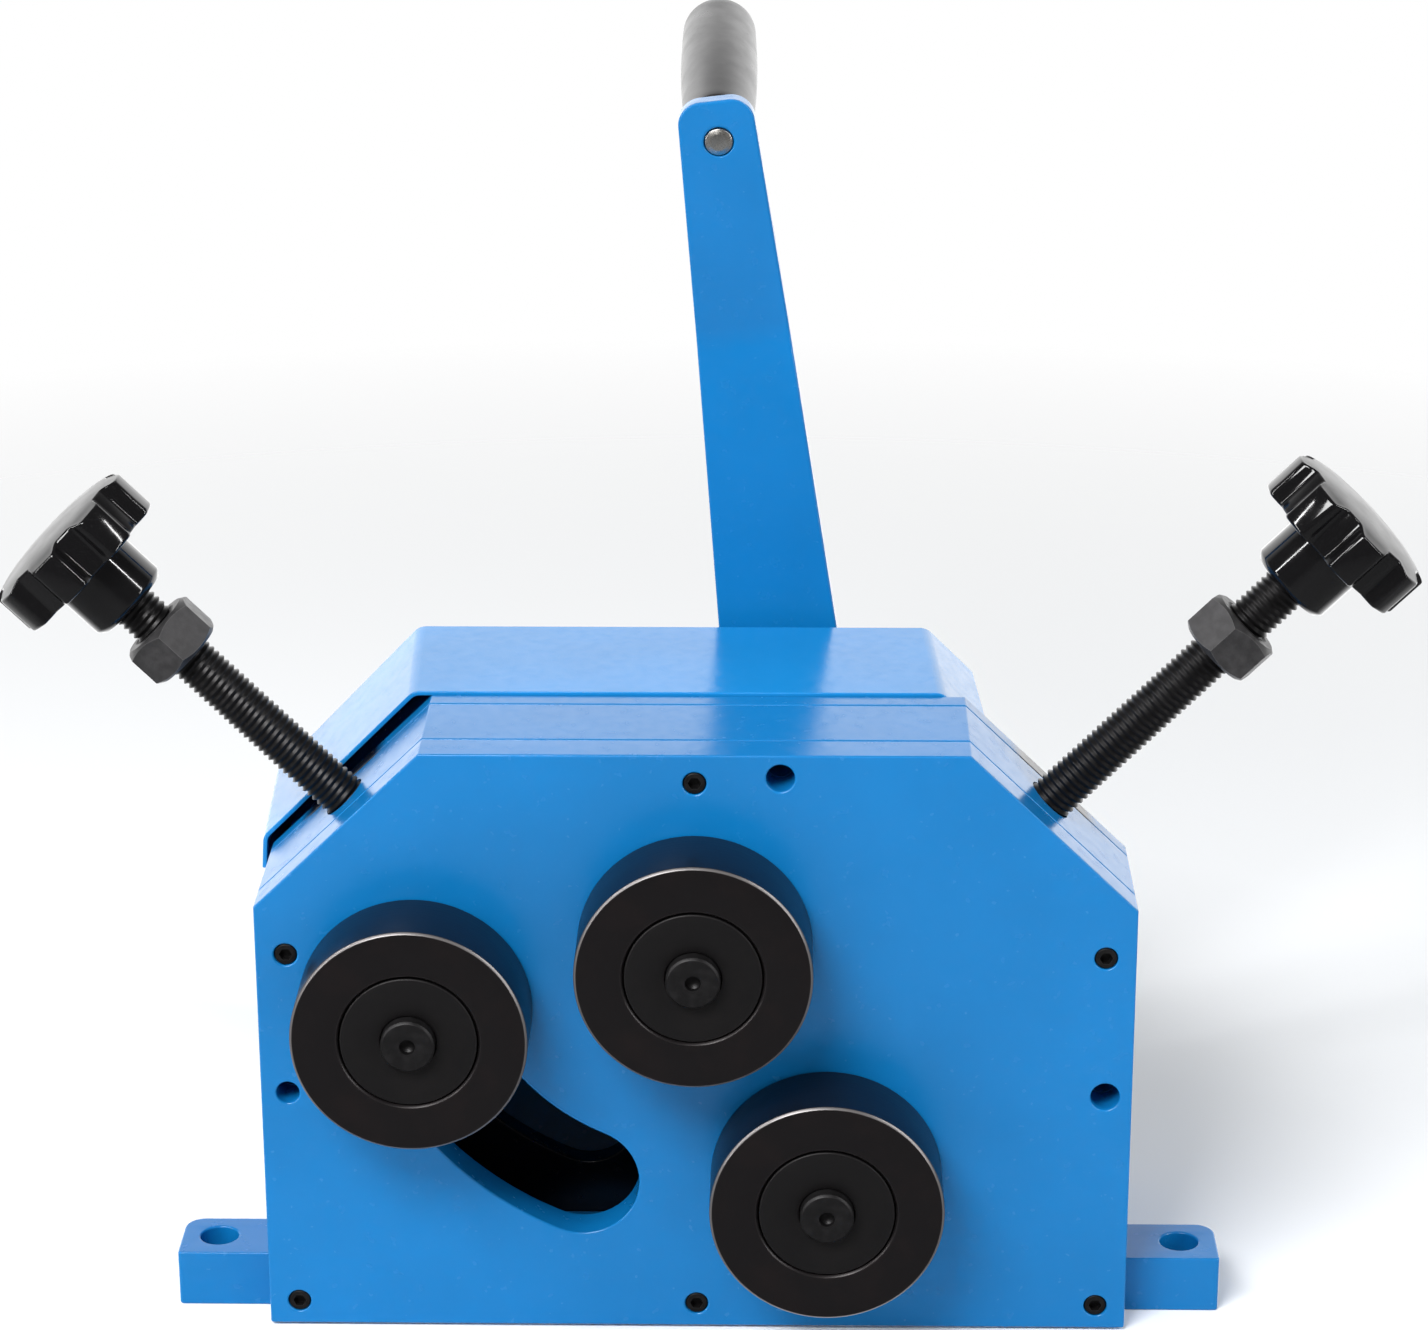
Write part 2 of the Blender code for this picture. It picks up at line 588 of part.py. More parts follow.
# Flush screws with hexagon sockets, and the holes left open
flush_side = half_plate - FLUSH_SIDE_EDGE
flush_high = PLATE_HEIGHT - CORNER_RISE - FLUSH_CORNER_DROP
flush_spots = dict(
    left_high=(-flush_side, flush_high), left_low=(-flush_side, FLUSH_LOW_EDGE),
    right_high=(flush_side, flush_high), right_low=(flush_side, FLUSH_LOW_EDGE),
    top=(0.0, PLATE_HEIGHT - FLUSH_TOP_EDGE), bottom=(0.0, FLUSH_LOW_EDGE))
for spot, (x, z) in flush_spots.items():
    name = "plate_screw_{}".format(spot)
    screw = finish(name, rod(FLUSH_RADIUS, FLUSH_SUNK, FLUSH_LENGTH, SMALL_SIDES), BLACK_STEEL)
    screw.location = (x, 0.0, PLATE_LIFT + z)
    screw.rotation_euler = about_y
    socket = extruded(hexagon(FLUSH_SOCKET_FLATS), -OVERRUN, OVERRUN + FLUSH_SUNK + FLUSH_SOCKET_DEPTH)
    key = finish("{}_socket".format(name), socket, None, smooth=False)
    key.location = (x, 0.0, PLATE_LIFT + z)
    boolean(screw, key)
    bore(front_plate, x, PLATE_LIFT + z, FLUSH_HOLE_RADIUS, -OVERRUN, PLATE_THICKNESS + OVERRUN, SMALL_SIDES)
    behind = base_bar if z < BASE_HEIGHT else frame_arch
    bore(
        behind, x, PLATE_LIFT + z, FLUSH_HOLE_RADIUS, FRAME_FRONT - OVERRUN, FLUSH_LENGTH + OVERRUN,
        SMALL_SIDES)
open_side = half_plate - OPEN_SIDE_EDGE
open_holes = (
    (OPEN_TOP_X, PLATE_HEIGHT - OPEN_TOP_EDGE, OPEN_TOP_RADIUS),
    (open_side, OPEN_SIDE_HEIGHT, OPEN_RIGHT_RADIUS), (-open_side, OPEN_SIDE_HEIGHT, OPEN_LEFT_RADIUS))
for x, z, radius in open_holes:
    bore(front_plate, x, PLATE_LIFT + z, radius, -OVERRUN, PLATE_THICKNESS + OVERRUN)
    bore(frame_arch, x, PLATE_LIFT + z, radius, FRAME_FRONT - OVERRUN, FRAME_FRONT + OPEN_HOLE_DEPTH)

# Bushes: the long one in the front plate is also the rocker's pivot
rear_bush_span = (REAR_PLATE_FRONT + BUSH_SET_BACK, REAR_BACK - BUSH_SET_BACK)
bush_spans = (
    ("pivot_bush", CENTRE, (BUSH_SET_BACK, FRAME_BACK - BUSH_SET_BACK)),
    ("drive_front_bush", DRIVE, (BUSH_SET_BACK, PLATE_THICKNESS - BUSH_SET_BACK)),
    ("centre_rear_bush", CENTRE, rear_bush_span),
    ("drive_rear_bush", DRIVE, rear_bush_span))
for name, place, (low, high) in bush_spans:
    bush = finish(name, tube(SHAFT_RADIUS + PLAY, PIVOT_BUSH_RADIUS, low, high), BRONZE)
    bush.location = (place.x, 0.0, place.y)
    bush.rotation_euler = about_y


def strip(front_line, back_line, thickness):
    """Bent sheet between a front line and a back line, thickness towards the inside."""
    shape = bmesh.new()
    sections = []
    for line, y in ((front_line, HOOD_FRONT), (back_line, HOOD_BACK)):
        outer = [Vector(point) for point in line]
        normals = []
        for index in range(len(outer)):
            before = outer[max(index - 1, 0)]
            after = outer[min(index + 1, len(outer) - 1)]
            run = (after - before).normalized()
            normals.append(Vector((run.y, -run.x)))
        inner = [point + normal * thickness for point, normal in zip(outer, normals)]
        sections.append([shape.verts.new((p.x, y, p.y)) for p in outer + inner[::-1]])
    front, back = sections
    count = len(front)
    for index in range(count):
        after = (index + 1) % count
        shape.faces.new((front[index], front[after], back[after], back[index]))
    half = count // 2
    for section in sections:
        for index in range(half - 1):
            shape.faces.new((
                section[index], section[index + 1], section[count - 2 - index], section[count - 1 - index]))
    return shape


hood_top = plate_top + HOOD_RISE
hood_left = -(half_plate + HOOD_OVERHANG)
hood_right = half_plate - CORNER_WIDTH - HOOD_RIGHT_SHORT


def hood_corners(splay, drop):
    """Corners of the hood's outer line, moved left by splay and down at its ends by drop."""
    left = hood_left - splay
    right = hood_right - splay
    low = hood_top - HOOD_LEFT_SLOPE_DROP - drop
    return [
        (left - HOOD_SKIRT_FLARE, low - HOOD_SKIRT_DROP), (left, low),
        (left + HOOD_LEFT_SLOPE_WIDTH, hood_top), (right, hood_top),
        (right + HOOD_RIGHT_SLOPE, hood_top - HOOD_RIGHT_SLOPE)]


def hood_line(splay, drop):
    """The hood's outer line with its corners bent round."""
    corners = hood_corners(splay, drop)
    return rounded(corners, (0.0, HOOD_BEND, HOOD_BEND, HOOD_BEND, 0.0), HOOD_BEND_STEPS)


def sunk_line(line, distance):
    """An open line moved to its right-hand side, square to each of its runs."""
    runs = [(after - before).normalized() for before, after in zip(line, line[1:])]
    sides = [Vector((run.y, -run.x)) for run in runs]
    moved = []
    for index, point in enumerate(line):
        before = sides[max(index - 1, 0)]
        after = sides[min(index, len(sides) - 1)]
        mitre = (before + after).normalized()
        moved.append(point + mitre * distance / mitre.dot(after))
    return moved


hood = finish(
    "hood", strip(hood_line(0.0, 0.0), hood_line(HOOD_SPLAY, HOOD_SPLAY_DROP), HOOD_THICKNESS), LIGHT_BLUE)
flange_left = hood_left + HOOD_LEFT_SLOPE_WIDTH + HOOD_FLANGE_INSET
flange_right = hood_right - HOOD_FLANGE_INSET
flange_low = hood_top - HOOD_FLANGE_DROP
joined(hood, extruded(
    [(flange_left, flange_low), (flange_left, hood_top - 0.5 * HOOD_THICKNESS),
     (flange_right, hood_top - 0.5 * HOOD_THICKNESS), (flange_right, flange_low)],
    HOOD_BACK - HOOD_THICKNESS, HOOD_THICKNESS))

# Turned-in rear edge of the hood from its skirt up to the flange, and the skirt's turned-in foot
wall_outer = []
for point in hood_line(HOOD_SPLAY, HOOD_SPLAY_DROP):
    if point[0] < flange_left:
        wall_outer.append(Vector(point))
wall_corners = [Vector(point) for point in hood_corners(HOOD_SPLAY, HOOD_SPLAY_DROP)[:3]]
for line in (wall_outer, wall_corners):
    line.append(Vector((flange_left + HOOD_WALL_OVERLAP, hood_top)))
wall_outline = [tuple(point) for point in sunk_line(wall_outer, 0.5 * HOOD_THICKNESS)]
wall_outline += [tuple(point) for point in sunk_line(wall_corners, HOOD_WALL_WIDTH)[::-1]]
joined(hood, extruded(
    wall_outline, HOOD_BACK - HOOD_THICKNESS + HOOD_FOLD_EASE, HOOD_THICKNESS - 2 * HOOD_FOLD_EASE))
foot_front = hood_line(0.0, 0.0)[0]
foot_back = hood_line(HOOD_SPLAY, HOOD_SPLAY_DROP)[0]
foot_inside = -REAR_PLATE_LEFT - PLAY
foot = bmesh.new()
foot_rings = []
for (x, z), y in ((foot_front, HOOD_FRONT + HOOD_FOLD_EASE), (foot_back, HOOD_BACK - HOOD_FOLD_EASE)):
    foot_outside = x + 0.5 * HOOD_THICKNESS
    foot_low = z + HOOD_FOLD_EASE
    foot_high = z + HOOD_THICKNESS
    foot_rings.append([foot.verts.new(point) for point in (
        (foot_outside, y, foot_low), (foot_inside, y, foot_low), (foot_inside, y, foot_high),
        (foot_outside, y, foot_high))])
for index in range(4):
    after = (index + 1) % 4
    foot.faces.new((
        foot_rings[0][index], foot_rings[0][after], foot_rings[1][after], foot_rings[1][index]))
for ring in foot_rings:
    foot.faces.new(ring)
joined(hood, foot)
screw_z = hood_top - HOOD_SCREW_DROP
for number, x in enumerate((flange_left + HOOD_SCREW_INSET, flange_right - HOOD_SCREW_INSET), 1):
    screw = finish(
        "hood_screw_{}".format(number),
        turned([
            (0.0, HOOD_BACK - HOOD_SCREW_GRIP), (HOOD_SCREW_RADIUS, HOOD_BACK - HOOD_SCREW_GRIP),
            (HOOD_SCREW_RADIUS, HOOD_BACK + PLAY), (HOOD_SCREW_HEAD_RADIUS, HOOD_BACK + PLAY),
            (HOOD_SCREW_HEAD_RADIUS, HOOD_BACK + 0.5 * HOOD_SCREW_HEAD),
            (HOOD_SCREW_RADIUS, HOOD_BACK + HOOD_SCREW_HEAD), (0.0, HOOD_BACK + HOOD_SCREW_HEAD)],
            SMALL_SIDES),
        BLACK_STEEL)
    screw.location = (x, 0.0, screw_z)
    screw.rotation_euler = about_y
    bore(hood, x, screw_z, HOOD_SCREW_RADIUS + PLAY, REAR_BACK, HOOD_BACK + OVERRUN, SMALL_SIDES)
    bore(
        rear_plate, x, screw_z, HOOD_SCREW_RADIUS + PLAY,
        HOOD_BACK - HOOD_SCREW_GRIP - OVERRUN, REAR_BACK + OVERRUN, SMALL_SIDES)

# Rolls: a ring, a cap let into its face and a shaft whose end shows in the cap
centre_axis = axis_empty("centre_roll_axis", (CENTRE.x, 0.0, CENTRE.y), about_y)
drive_axis = axis_empty("drive_roll_axis", (DRIVE.x, 0.0, DRIVE.y), about_y)
rocker_axis = axis_empty("rocker_axis", (CENTRE.x, 0.0, CENTRE.y), about_y)
swing_offset = SWING - CENTRE
swing_axis = axis_empty("swing_roll_axis", (swing_offset.x, -swing_offset.y, 0.0), parent=rocker_axis)


def roll(name, axis, shaft_radius, tail, threaded_tail=0.0):
    """Ring, cap and shaft of one roll, about its own axis."""
    cap_back = ROLL_FRONT + CAP_DEPTH
    ring = turned([
        (shaft_radius + PLAY, cap_back), (CAP_RADIUS + CAP_GROOVE, cap_back),
        (CAP_RADIUS + CAP_GROOVE, ROLL_FRONT), (ROLL_RADIUS - ROLL_EDGE, ROLL_FRONT),
        (ROLL_RADIUS, ROLL_FRONT + ROLL_EDGE), (ROLL_RADIUS, ROLL_BACK - ROLL_EDGE),
        (ROLL_RADIUS - ROLL_EDGE, ROLL_BACK), (shaft_radius + PLAY, ROLL_BACK)], FINE_SIDES, ring=True)
    finish("{}_ring".format(name), ring, ROLL_STEEL, axis)
    cap = tube(NUB_RADIUS + PLAY, CAP_RADIUS, ROLL_FRONT + CAP_SUNK, cap_back - PLAY, FINE_SIDES)
    finish("{}_cap".format(name), cap, ROLL_STEEL, axis)
    nub_face = ROLL_FRONT - NUB_REACH
    profile = [
        (0.0, nub_face + CENTRE_HOLE_DEPTH), (CENTRE_HOLE_RADIUS, nub_face + 0.5 * CENTRE_HOLE_DEPTH),
        (CENTRE_HOLE_RADIUS, nub_face), (NUB_RADIUS - ROLL_EDGE, nub_face),
        (NUB_RADIUS, nub_face + ROLL_EDGE), (NUB_RADIUS, cap_back), (shaft_radius, cap_back)]
    if threaded_tail:
        profile += [
            (shaft_radius, tail), (CRANK_SEAT_RADIUS, tail), (CRANK_SEAT_RADIUS, threaded_tail),
            (0.0, threaded_tail)]
    else:
        profile += [(shaft_radius, tail), (0.0, tail)]
    finish("{}_shaft".format(name), turned(profile, COARSE_SIDES), SHAFT_STEEL, axis)


crank_nut_front = CRANK_FRONT + CRANK_THICKNESS + CRANK_WASHER_THICKNESS + PLAY + PLAY
crank_nut_back = crank_nut_front + CRANK_NUT_HEIGHT
collar_front = MIDDLE_BACK + COLLAR_SPACE
collar_back = collar_front + COLLAR_WIDTH
roll("centre_roll", centre_axis, SHAFT_RADIUS, REAR_BACK)
roll("drive_roll", drive_axis, SHAFT_RADIUS, CRANK_FRONT - PLAY, crank_nut_back + CRANK_STUD_OVER)
roll("swing_roll", swing_axis, SWING_SHAFT_RADIUS, collar_back + COLLAR_SPACE)
collar = tube(SWING_SHAFT_RADIUS + PLAY, COLLAR_RADIUS, collar_front, collar_back)
finish("swing_roll_collar", collar, BLACK_STEEL, swing_axis)


def gear_outline(phase):
    """Involute teeth, with one tooth centred on the phase angle."""
    pitch_radius = 0.5 * ROLL_PITCH
    base_radius = pitch_radius * math.cos(GEAR_PRESSURE)
    root_radius = pitch_radius - GEAR_DEDENDUM
    tip_radius = pitch_radius + GEAR_ADDENDUM
    half_tooth = math.pi / (2 * GEAR_TEETH) - GEAR_BACKLASH / (2 * pitch_radius)
    half_tooth += math.tan(GEAR_PRESSURE) - GEAR_PRESSURE
    flank = []
    for share in FLANK_SHARES:
        radius = base_radius + (tip_radius - base_radius) * share
        roll_angle = math.acos(base_radius / radius)
        flank.append((radius, half_tooth - (math.tan(roll_angle) - roll_angle)))
    rising = [(root_radius, -flank[0][1])] + [(radius, -angle) for radius, angle in flank]
    falling = [(radius, angle) for radius, angle in flank[::-1]] + [(root_radius, flank[0][1])]
    outline = []
    for tooth in range(GEAR_TEETH):
        middle = phase + FULL_TURN * tooth / GEAR_TEETH
        for radius, angle in rising + falling:
            outline.append((radius * math.cos(middle + angle), radius * math.sin(middle + angle)))
    return outline


def gear(name, axis, phase):
    """Gear with a hub behind it, bored for the shaft."""
    made = finish(name, extruded(gear_outline(phase), GEAR_FRONT, GEAR_WIDTH, "Z"), SHAFT_STEEL, axis)
    gear_back = GEAR_FRONT + GEAR_WIDTH
    joined(made, rod(GEAR_HUB_RADIUS, gear_back - OVERRUN, gear_back + GEAR_HUB_LENGTH))
    drill = finish(
        "{}_drill".format(name),
        rod(SHAFT_RADIUS + PLAY, GEAR_FRONT - OVERRUN, gear_back + GEAR_HUB_LENGTH + OVERRUN), None, axis)
    boolean(made, drill)


gear("centre_gear", centre_axis, DRIVE_ANGLE)
gear("drive_gear", drive_axis, DRIVE_ANGLE + math.pi + math.pi / GEAR_TEETH)


def cam(side, rest_reach, growth):
    """Involute edge that a flat pad meets squarely at every angle of the rocker."""
    foot = Vector((side * COS_LEAN, -SIN_LEAN)) * CAM_BASE
    outward = Vector((side * SIN_LEAN, COS_LEAN))
    points = []
    for step in range(CAM_STEPS + 1):
        turn = SWING_UP - (SWING_UP + SWING_DOWN) * step / CAM_STEPS
        met = foot + outward * (rest_reach + growth * CAM_BASE * turn - PLAY)
        points.append(Vector((
            met.x * math.cos(turn) - met.y * math.sin(turn),
            met.x * math.sin(turn) + met.y * math.cos(turn))))
    return points


def flipped(points):
    """From X and Z seen from the front to the rolls' own X and Y."""
    return [(x, -z) for x, z in points]


rocker_back = ROCKER_FRONT + ROCKER_THICKNESS
lowering_cam = cam(-1, LOWERING_REACH, 1)
raising_cam = cam(1, RAISING_REACH, -1)
arm_outline = [(0.0, 0.0)] + [tuple(point) for point in lowering_cam[::-1]] + [tuple(swing_offset)]
toe_outline = [(0.0, 0.0)] + [tuple(point) for point in raising_cam]
toe_outline += [(x_share * CAM_BASE, z_share * CAM_BASE) for x_share, z_share in TOE_SHARES]
rocker = finish("rocker", rod(ROCKER_HUB_RADIUS, ROCKER_FRONT, ROCKER_BACK), BLUE, rocker_axis)
joined(rocker, extruded(flipped(arm_outline), ROCKER_FRONT, ROCKER_THICKNESS, "Z"))
joined(rocker, extruded(flipped(toe_outline), ROCKER_FRONT, ROCKER_THICKNESS, "Z"))
boss = rod(SWING_BOSS_RADIUS, ROCKER_FRONT, ROCKER_BACK)
bmesh.ops.translate(boss, vec=(swing_offset.x, -swing_offset.y, 0.0), verts=boss.verts)
joined(rocker, boss)
brace = Vector((-swing_offset.y, swing_offset.x)).normalized() * SWING_SHAFT_RADIUS
joined(rocker, extruded(
    flipped([tuple(brace), tuple(swing_offset + brace), tuple(swing_offset - brace), tuple(-brace)]),
    ROCKER_FRONT, ROCKER_THICKNESS, "Z"))
swing_bush_radius = SWING_SHAFT_RADIUS + SWING_BUSH_WALL
for name, place, radius in (
        ("pivot_drill", Vector((0.0, 0.0)), PIVOT_BUSH_RADIUS + PLAY),
        ("swing_drill", swing_offset, swing_bush_radius + PLAY)):
    drill = finish(name, rod(radius, ROCKER_FRONT - OVERRUN, ROCKER_BACK + OVERRUN), None, rocker_axis)
    drill.location = (place.x, -place.y, 0.0)
    boolean(rocker, drill)
swing_bush = tube(SWING_SHAFT_RADIUS + PLAY, swing_bush_radius, ROCKER_FRONT, ROCKER_BACK)
finish("swing_bush", swing_bush, BRONZE, rocker_axis).location = (swing_offset.x, -swing_offset.y, 0.0)


def star_knob(name, axis, hub_end):
    """Lobed knob on a round hub, with a domed top and a blind bore."""
    rim_low = hub_end + KNOB_HUB_LENGTH
    rim_high = rim_low + KNOB_RIM
    bore_radius = SCREW_RADIUS + PLAY
    bore_end = hub_end + SCREW_IN_KNOB + PLAY
    rings = [
        (bore_radius, bore_end, 0.0), (bore_radius, hub_end, 0.0),
        (KNOB_HUB_RADIUS - KNOB_HUB_TAPER, hub_end, 0.0),
        (KNOB_HUB_RADIUS, hub_end + KNOB_HUB_TAPER, 0.0), (KNOB_HUB_RADIUS, rim_low, 0.0),
        (KNOB_RADIUS - KNOB_RIM_ROUND, rim_low, 1.0), (KNOB_RADIUS, rim_low + KNOB_RIM_ROUND, 1.0),
        (KNOB_RADIUS, rim_high - KNOB_RIM_ROUND, 1.0), (KNOB_RADIUS - KNOB_RIM_ROUND, rim_high, 1.0)]
    for width, rise in KNOB_DOME_SHARES:
        rings.append((KNOB_RADIUS * width, rim_high + KNOB_DOME * rise, width ** KNOB_LOBE_FADE))
    shape = bmesh.new()
    count = KNOB_LOBES * KNOB_POINTS_PER_LOBE
    loops = []
    for radius, height, lobed in rings:
        loop = []
        for index in range(count):
            angle = FULL_TURN * (index + 0.5) / count
            dip = 0.5 * (1 - math.cos(KNOB_LOBES * angle))
            here = radius - lobed * KNOB_LOBE_DEPTH * dip ** KNOB_LOBE_SHARPNESS
            loop.append(shape.verts.new((here * math.cos(angle), here * math.sin(angle), height)))
        loops.append(loop)
    for lower, upper in zip(loops, loops[1:]):
        for index in range(count):
            after = (index + 1) % count
            shape.faces.new((lower[index], lower[after], upper[after], upper[index]))
    for loop, height in ((loops[0], bore_end), (loops[-1], rim_high + KNOB_DOME)):
        tip = shape.verts.new((0.0, 0.0, height))
        for index in range(count):
            shape.faces.new((loop[index], loop[(index + 1) % count], tip))
    finish(name, shape, KNOB_PLASTIC, axis)


def hex_nut(name, flats, height, low, hole_radius, turn, material, axis):
    """Hexagon nut with its corners turned off at both ends, bored right through."""
    shape = bmesh.new()
    high = low + height
    flat_radius = 0.5 * flats
    corner_radius = flat_radius / math.cos(math.pi / 6)
    face_radius = flat_radius - 0.5 * NUT_BEVEL
    count = 6 * NUT_POINTS_PER_FLAT
    loops = [[], [], [], [], [], []]
    for index in range(count):
        angle = FULL_TURN * index / count
        from_flat = (angle + math.pi / 6) % (math.pi / 3) - math.pi / 6
        side_radius = flat_radius / math.cos(from_flat)
        set_in = NUT_BEVEL * (side_radius - face_radius) / (corner_radius - face_radius)
        rings = (
            (hole_radius, low), (face_radius, low), (side_radius, low + set_in),
            (side_radius, high - set_in), (face_radius, high), (hole_radius, high))
        for loop, (radius, z) in zip(loops, rings):
            loop.append(shape.verts.new((
                radius * math.cos(angle + turn), radius * math.sin(angle + turn), z)))
    for lower, upper in zip(loops, loops[1:] + loops[:1]):
        for index in range(count):
            after = (index + 1) % count
            shape.faces.new((lower[index], lower[after], upper[after], upper[index]))
    finish(name, shape, material, axis)


# Adjusting screws: Z of each axis points outwards along the screw
for side, title, hub_end, nut_low, nut_turn, reach in (
        (-1, "left", LEFT_HUB, LEFT_NUT, LEFT_NUT_TURN, LOWERING_REACH),
        (1, "right", RIGHT_HUB, RIGHT_NUT, RIGHT_NUT_TURN, RAISING_REACH)):
    place = (side * CORNER_MIDDLE_X, FRAME_MIDDLE, CORNER_MIDDLE_Z)
    axis = axis_empty("{}_screw_axis".format(title), place, (0.0, side * SCREW_LEAN, 0.0))
    pad_low = reach - FOOT_DEPTH
    pad = rod(PAD_RADIUS, pad_low, pad_low + PAD_THICKNESS, COARSE_SIDES, PLAY)
    finish("{}_pad".format(title), pad, SHAFT_STEEL, axis)
    stem = rod(SCREW_RADIUS, pad_low + PAD_THICKNESS + PLAY, hub_end + SCREW_IN_KNOB, COARSE_SIDES, PLAY)
    finish("{}_screw".format(title), stem, BLACK_STEEL, axis)
    star_knob("{}_knob".format(title), axis, hub_end)
    hex_nut(
        "{}_lock_nut".format(title), NUT_FLATS, NUT_HEIGHT, nut_low, SCREW_RADIUS + PLAY, nut_turn,
        NUT_STEEL, axis)
    shaft_cut = finish(
        "{}_screw_drill".format(title), rod(SCREW_HOLE_RADIUS, -FOOT_DEPTH, OVERRUN * 2), None, axis)
    boolean(frame_arch, shaft_cut)


def crank_half_width(along):
    """Half width of the lever at a distance from the crankshaft's axis."""
    end = CRANK_RADIUS + CRANK_TIP
    taper = 0.5 * (CRANK_WIDE - CRANK_NARROW) / (CRANK_RADIUS - CRANK_FLAT)
    width = 0.5 * CRANK_NARROW + taper * (CRANK_RADIUS - along)
    if along < CRANK_FLAT:
        round_end = math.sqrt(max(CRANK_END_RADIUS ** 2 - along ** 2, 0.0))
        width = max(round_end, min(width, CRANK_END_RADIUS)) if along > 0.0 else round_end
    into_tip = along - (end - CRANK_TIP_ROUND)
    if into_tip > 0.0:
        width -= CRANK_TIP_ROUND - math.sqrt(max(CRANK_TIP_ROUND ** 2 - into_tip ** 2, 0.0))
    return width


def crank_set_back(along):
    """How far the lever's front face stands behind its flat end."""
    if along < CRANK_FLAT:
        return 0.0
    if along < CRANK_BEND:
        return CRANK_BEND_BACK * (along - CRANK_FLAT) / (CRANK_BEND - CRANK_FLAT)
    return CRANK_BEND_BACK - CRANK_TIP_FORWARD * (along - CRANK_BEND) / (CRANK_RADIUS - CRANK_BEND)


def crank_stations():
    """Distances along the lever where its sides or its faces turn."""
    end = CRANK_RADIUS + CRANK_TIP
    quarter = math.pi / 2
    first = [
        -CRANK_END_RADIUS * math.cos(quarter * (step + 1) / CRANK_END_STEPS)
        for step in range(CRANK_END_STEPS)]
    low = [CRANK_FLAT * share for share in CRANK_FLAT_SHARES]
    last = [
        end - CRANK_TIP_ROUND * (1 - math.sin(quarter * step / CRANK_TIP_STEPS))
        for step in range(CRANK_TIP_STEPS + 1)]
    return first + low + [CRANK_BEND] + last


def lever():
    """Flat bar, bent back and then forward, with round ends."""
    shape = bmesh.new()
    sections = []
    for along in crank_stations():
        half_width = crank_half_width(along)
        y = CRANK_FRONT + crank_set_back(along)
        section = []
        for across, depth in ((-1, 0.0), (1, 0.0), (1, CRANK_THICKNESS), (-1, CRANK_THICKNESS)):
            section.append(shape.verts.new((across * half_width, y + depth, along)))
        sections.append(section)
    for lower, upper in zip(sections, sections[1:]):
        for index in range(4):
            after = (index + 1) % 4
            shape.faces.new((lower[index], lower[after], upper[after], upper[index]))
    shape.faces.new(sections[0])
    shape.faces.new(sections[-1])
    return shape


crank_axis = axis_empty("crank_axis", (DRIVE.x, 0.0, DRIVE.y), (0.0, -CRANK_LEAN, 0.0))
crank = finish("crank_lever", lever(), BLUE, crank_axis)
drill = finish(
    "crank_drill", rod(CRANK_SEAT_RADIUS + PLAY, CRANK_FRONT - OVERRUN, crank_nut_front), None, crank_axis)
drill.rotation_euler = about_y
boolean(crank, drill)
washer = tube(
    CRANK_SEAT_RADIUS + PLAY, CRANK_WASHER_RADIUS, CRANK_FRONT + CRANK_THICKNESS + PLAY,
    crank_nut_front - PLAY)
finish("crank_washer", washer, BRIGHT_STEEL, crank_axis).rotation_euler = about_y
crank_back = axis_empty("crank_fixing", (0.0, 0.0, 0.0), about_y, crank_axis)
hex_nut(
    "crank_nut", CRANK_NUT_FLATS, CRANK_NUT_HEIGHT, crank_nut_front, CRANK_SEAT_RADIUS + PLAY, 0.0,
    NUT_STEEL, crank_back)

# Grip square to the lever's upper part: Z of its axis points backwards
grip_tilt = math.atan2(CRANK_TIP_FORWARD, CRANK_RADIUS - CRANK_BEND)
eye_front = CRANK_FRONT + CRANK_BEND_BACK - CRANK_TIP_FORWARD
grip_axis = axis_empty(
    "grip_axis", (0.0, eye_front, CRANK_RADIUS), (-math.pi / 2 + grip_tilt, 0.0, 0.0), crank_axis)
eye_drill = rod(SPINDLE_RADIUS + PLAY, -OVERRUN * 2, CRANK_THICKNESS + OVERRUN * 2)
drill = finish("eye_drill", eye_drill, None, grip_axis)
boolean(crank, drill)
neck_low = CRANK_THICKNESS + PLAY
grip_low = neck_low + NECK_THICKNESS + PLAY
grip_high = grip_low + GRIP_LENGTH
neck = tube(SPINDLE_RADIUS + PLAY, NECK_RADIUS, neck_low, neck_low + NECK_THICKNESS)
finish("grip_washer", neck, BLACK_STEEL, grip_axis)
pocket_floor = grip_high - GRIP_POCKET_DEPTH
spindle = turned([
    (0.0, -SPINDLE_RIVET), (0.5 * SPINDLE_RADIUS, -SPINDLE_RIVET), (SPINDLE_RADIUS, 0.0),
    (SPINDLE_RADIUS, pocket_floor + PLAY), (SPINDLE_HEAD_RADIUS, pocket_floor + PLAY),
    (SPINDLE_HEAD_RADIUS, pocket_floor + SPINDLE_HEAD), (0.0, pocket_floor + SPINDLE_HEAD)], SMALL_SIDES)
finish("grip_spindle", spindle, BRIGHT_STEEL, grip_axis)
grip_profile = [(GRIP_BORE, grip_low), (GRIP_END_RADIUS - GRIP_ROUND, grip_low)]
for step in range(GRIP_STEPS + 1):
    share = step / GRIP_STEPS
    height = grip_low + GRIP_ROUND + (GRIP_LENGTH - 2 * GRIP_ROUND) * share
    straight = GRIP_END_RADIUS + (GRIP_FAR_RADIUS - GRIP_END_RADIUS) * share
    swell = math.sin(math.pi * share) * (GRIP_MID_RADIUS - 0.5 * (GRIP_END_RADIUS + GRIP_FAR_RADIUS))
    grip_profile.append((straight + swell, height))
grip_profile += [
    (GRIP_FAR_RADIUS - 0.5 * GRIP_ROUND, grip_high), (GRIP_POCKET_RADIUS, grip_high),
    (GRIP_POCKET_RADIUS, pocket_floor), (GRIP_BORE, pocket_floor)]
finish("grip", turned(grip_profile, COARSE_SIDES, ring=True), GRIP_PLASTIC, grip_axis)
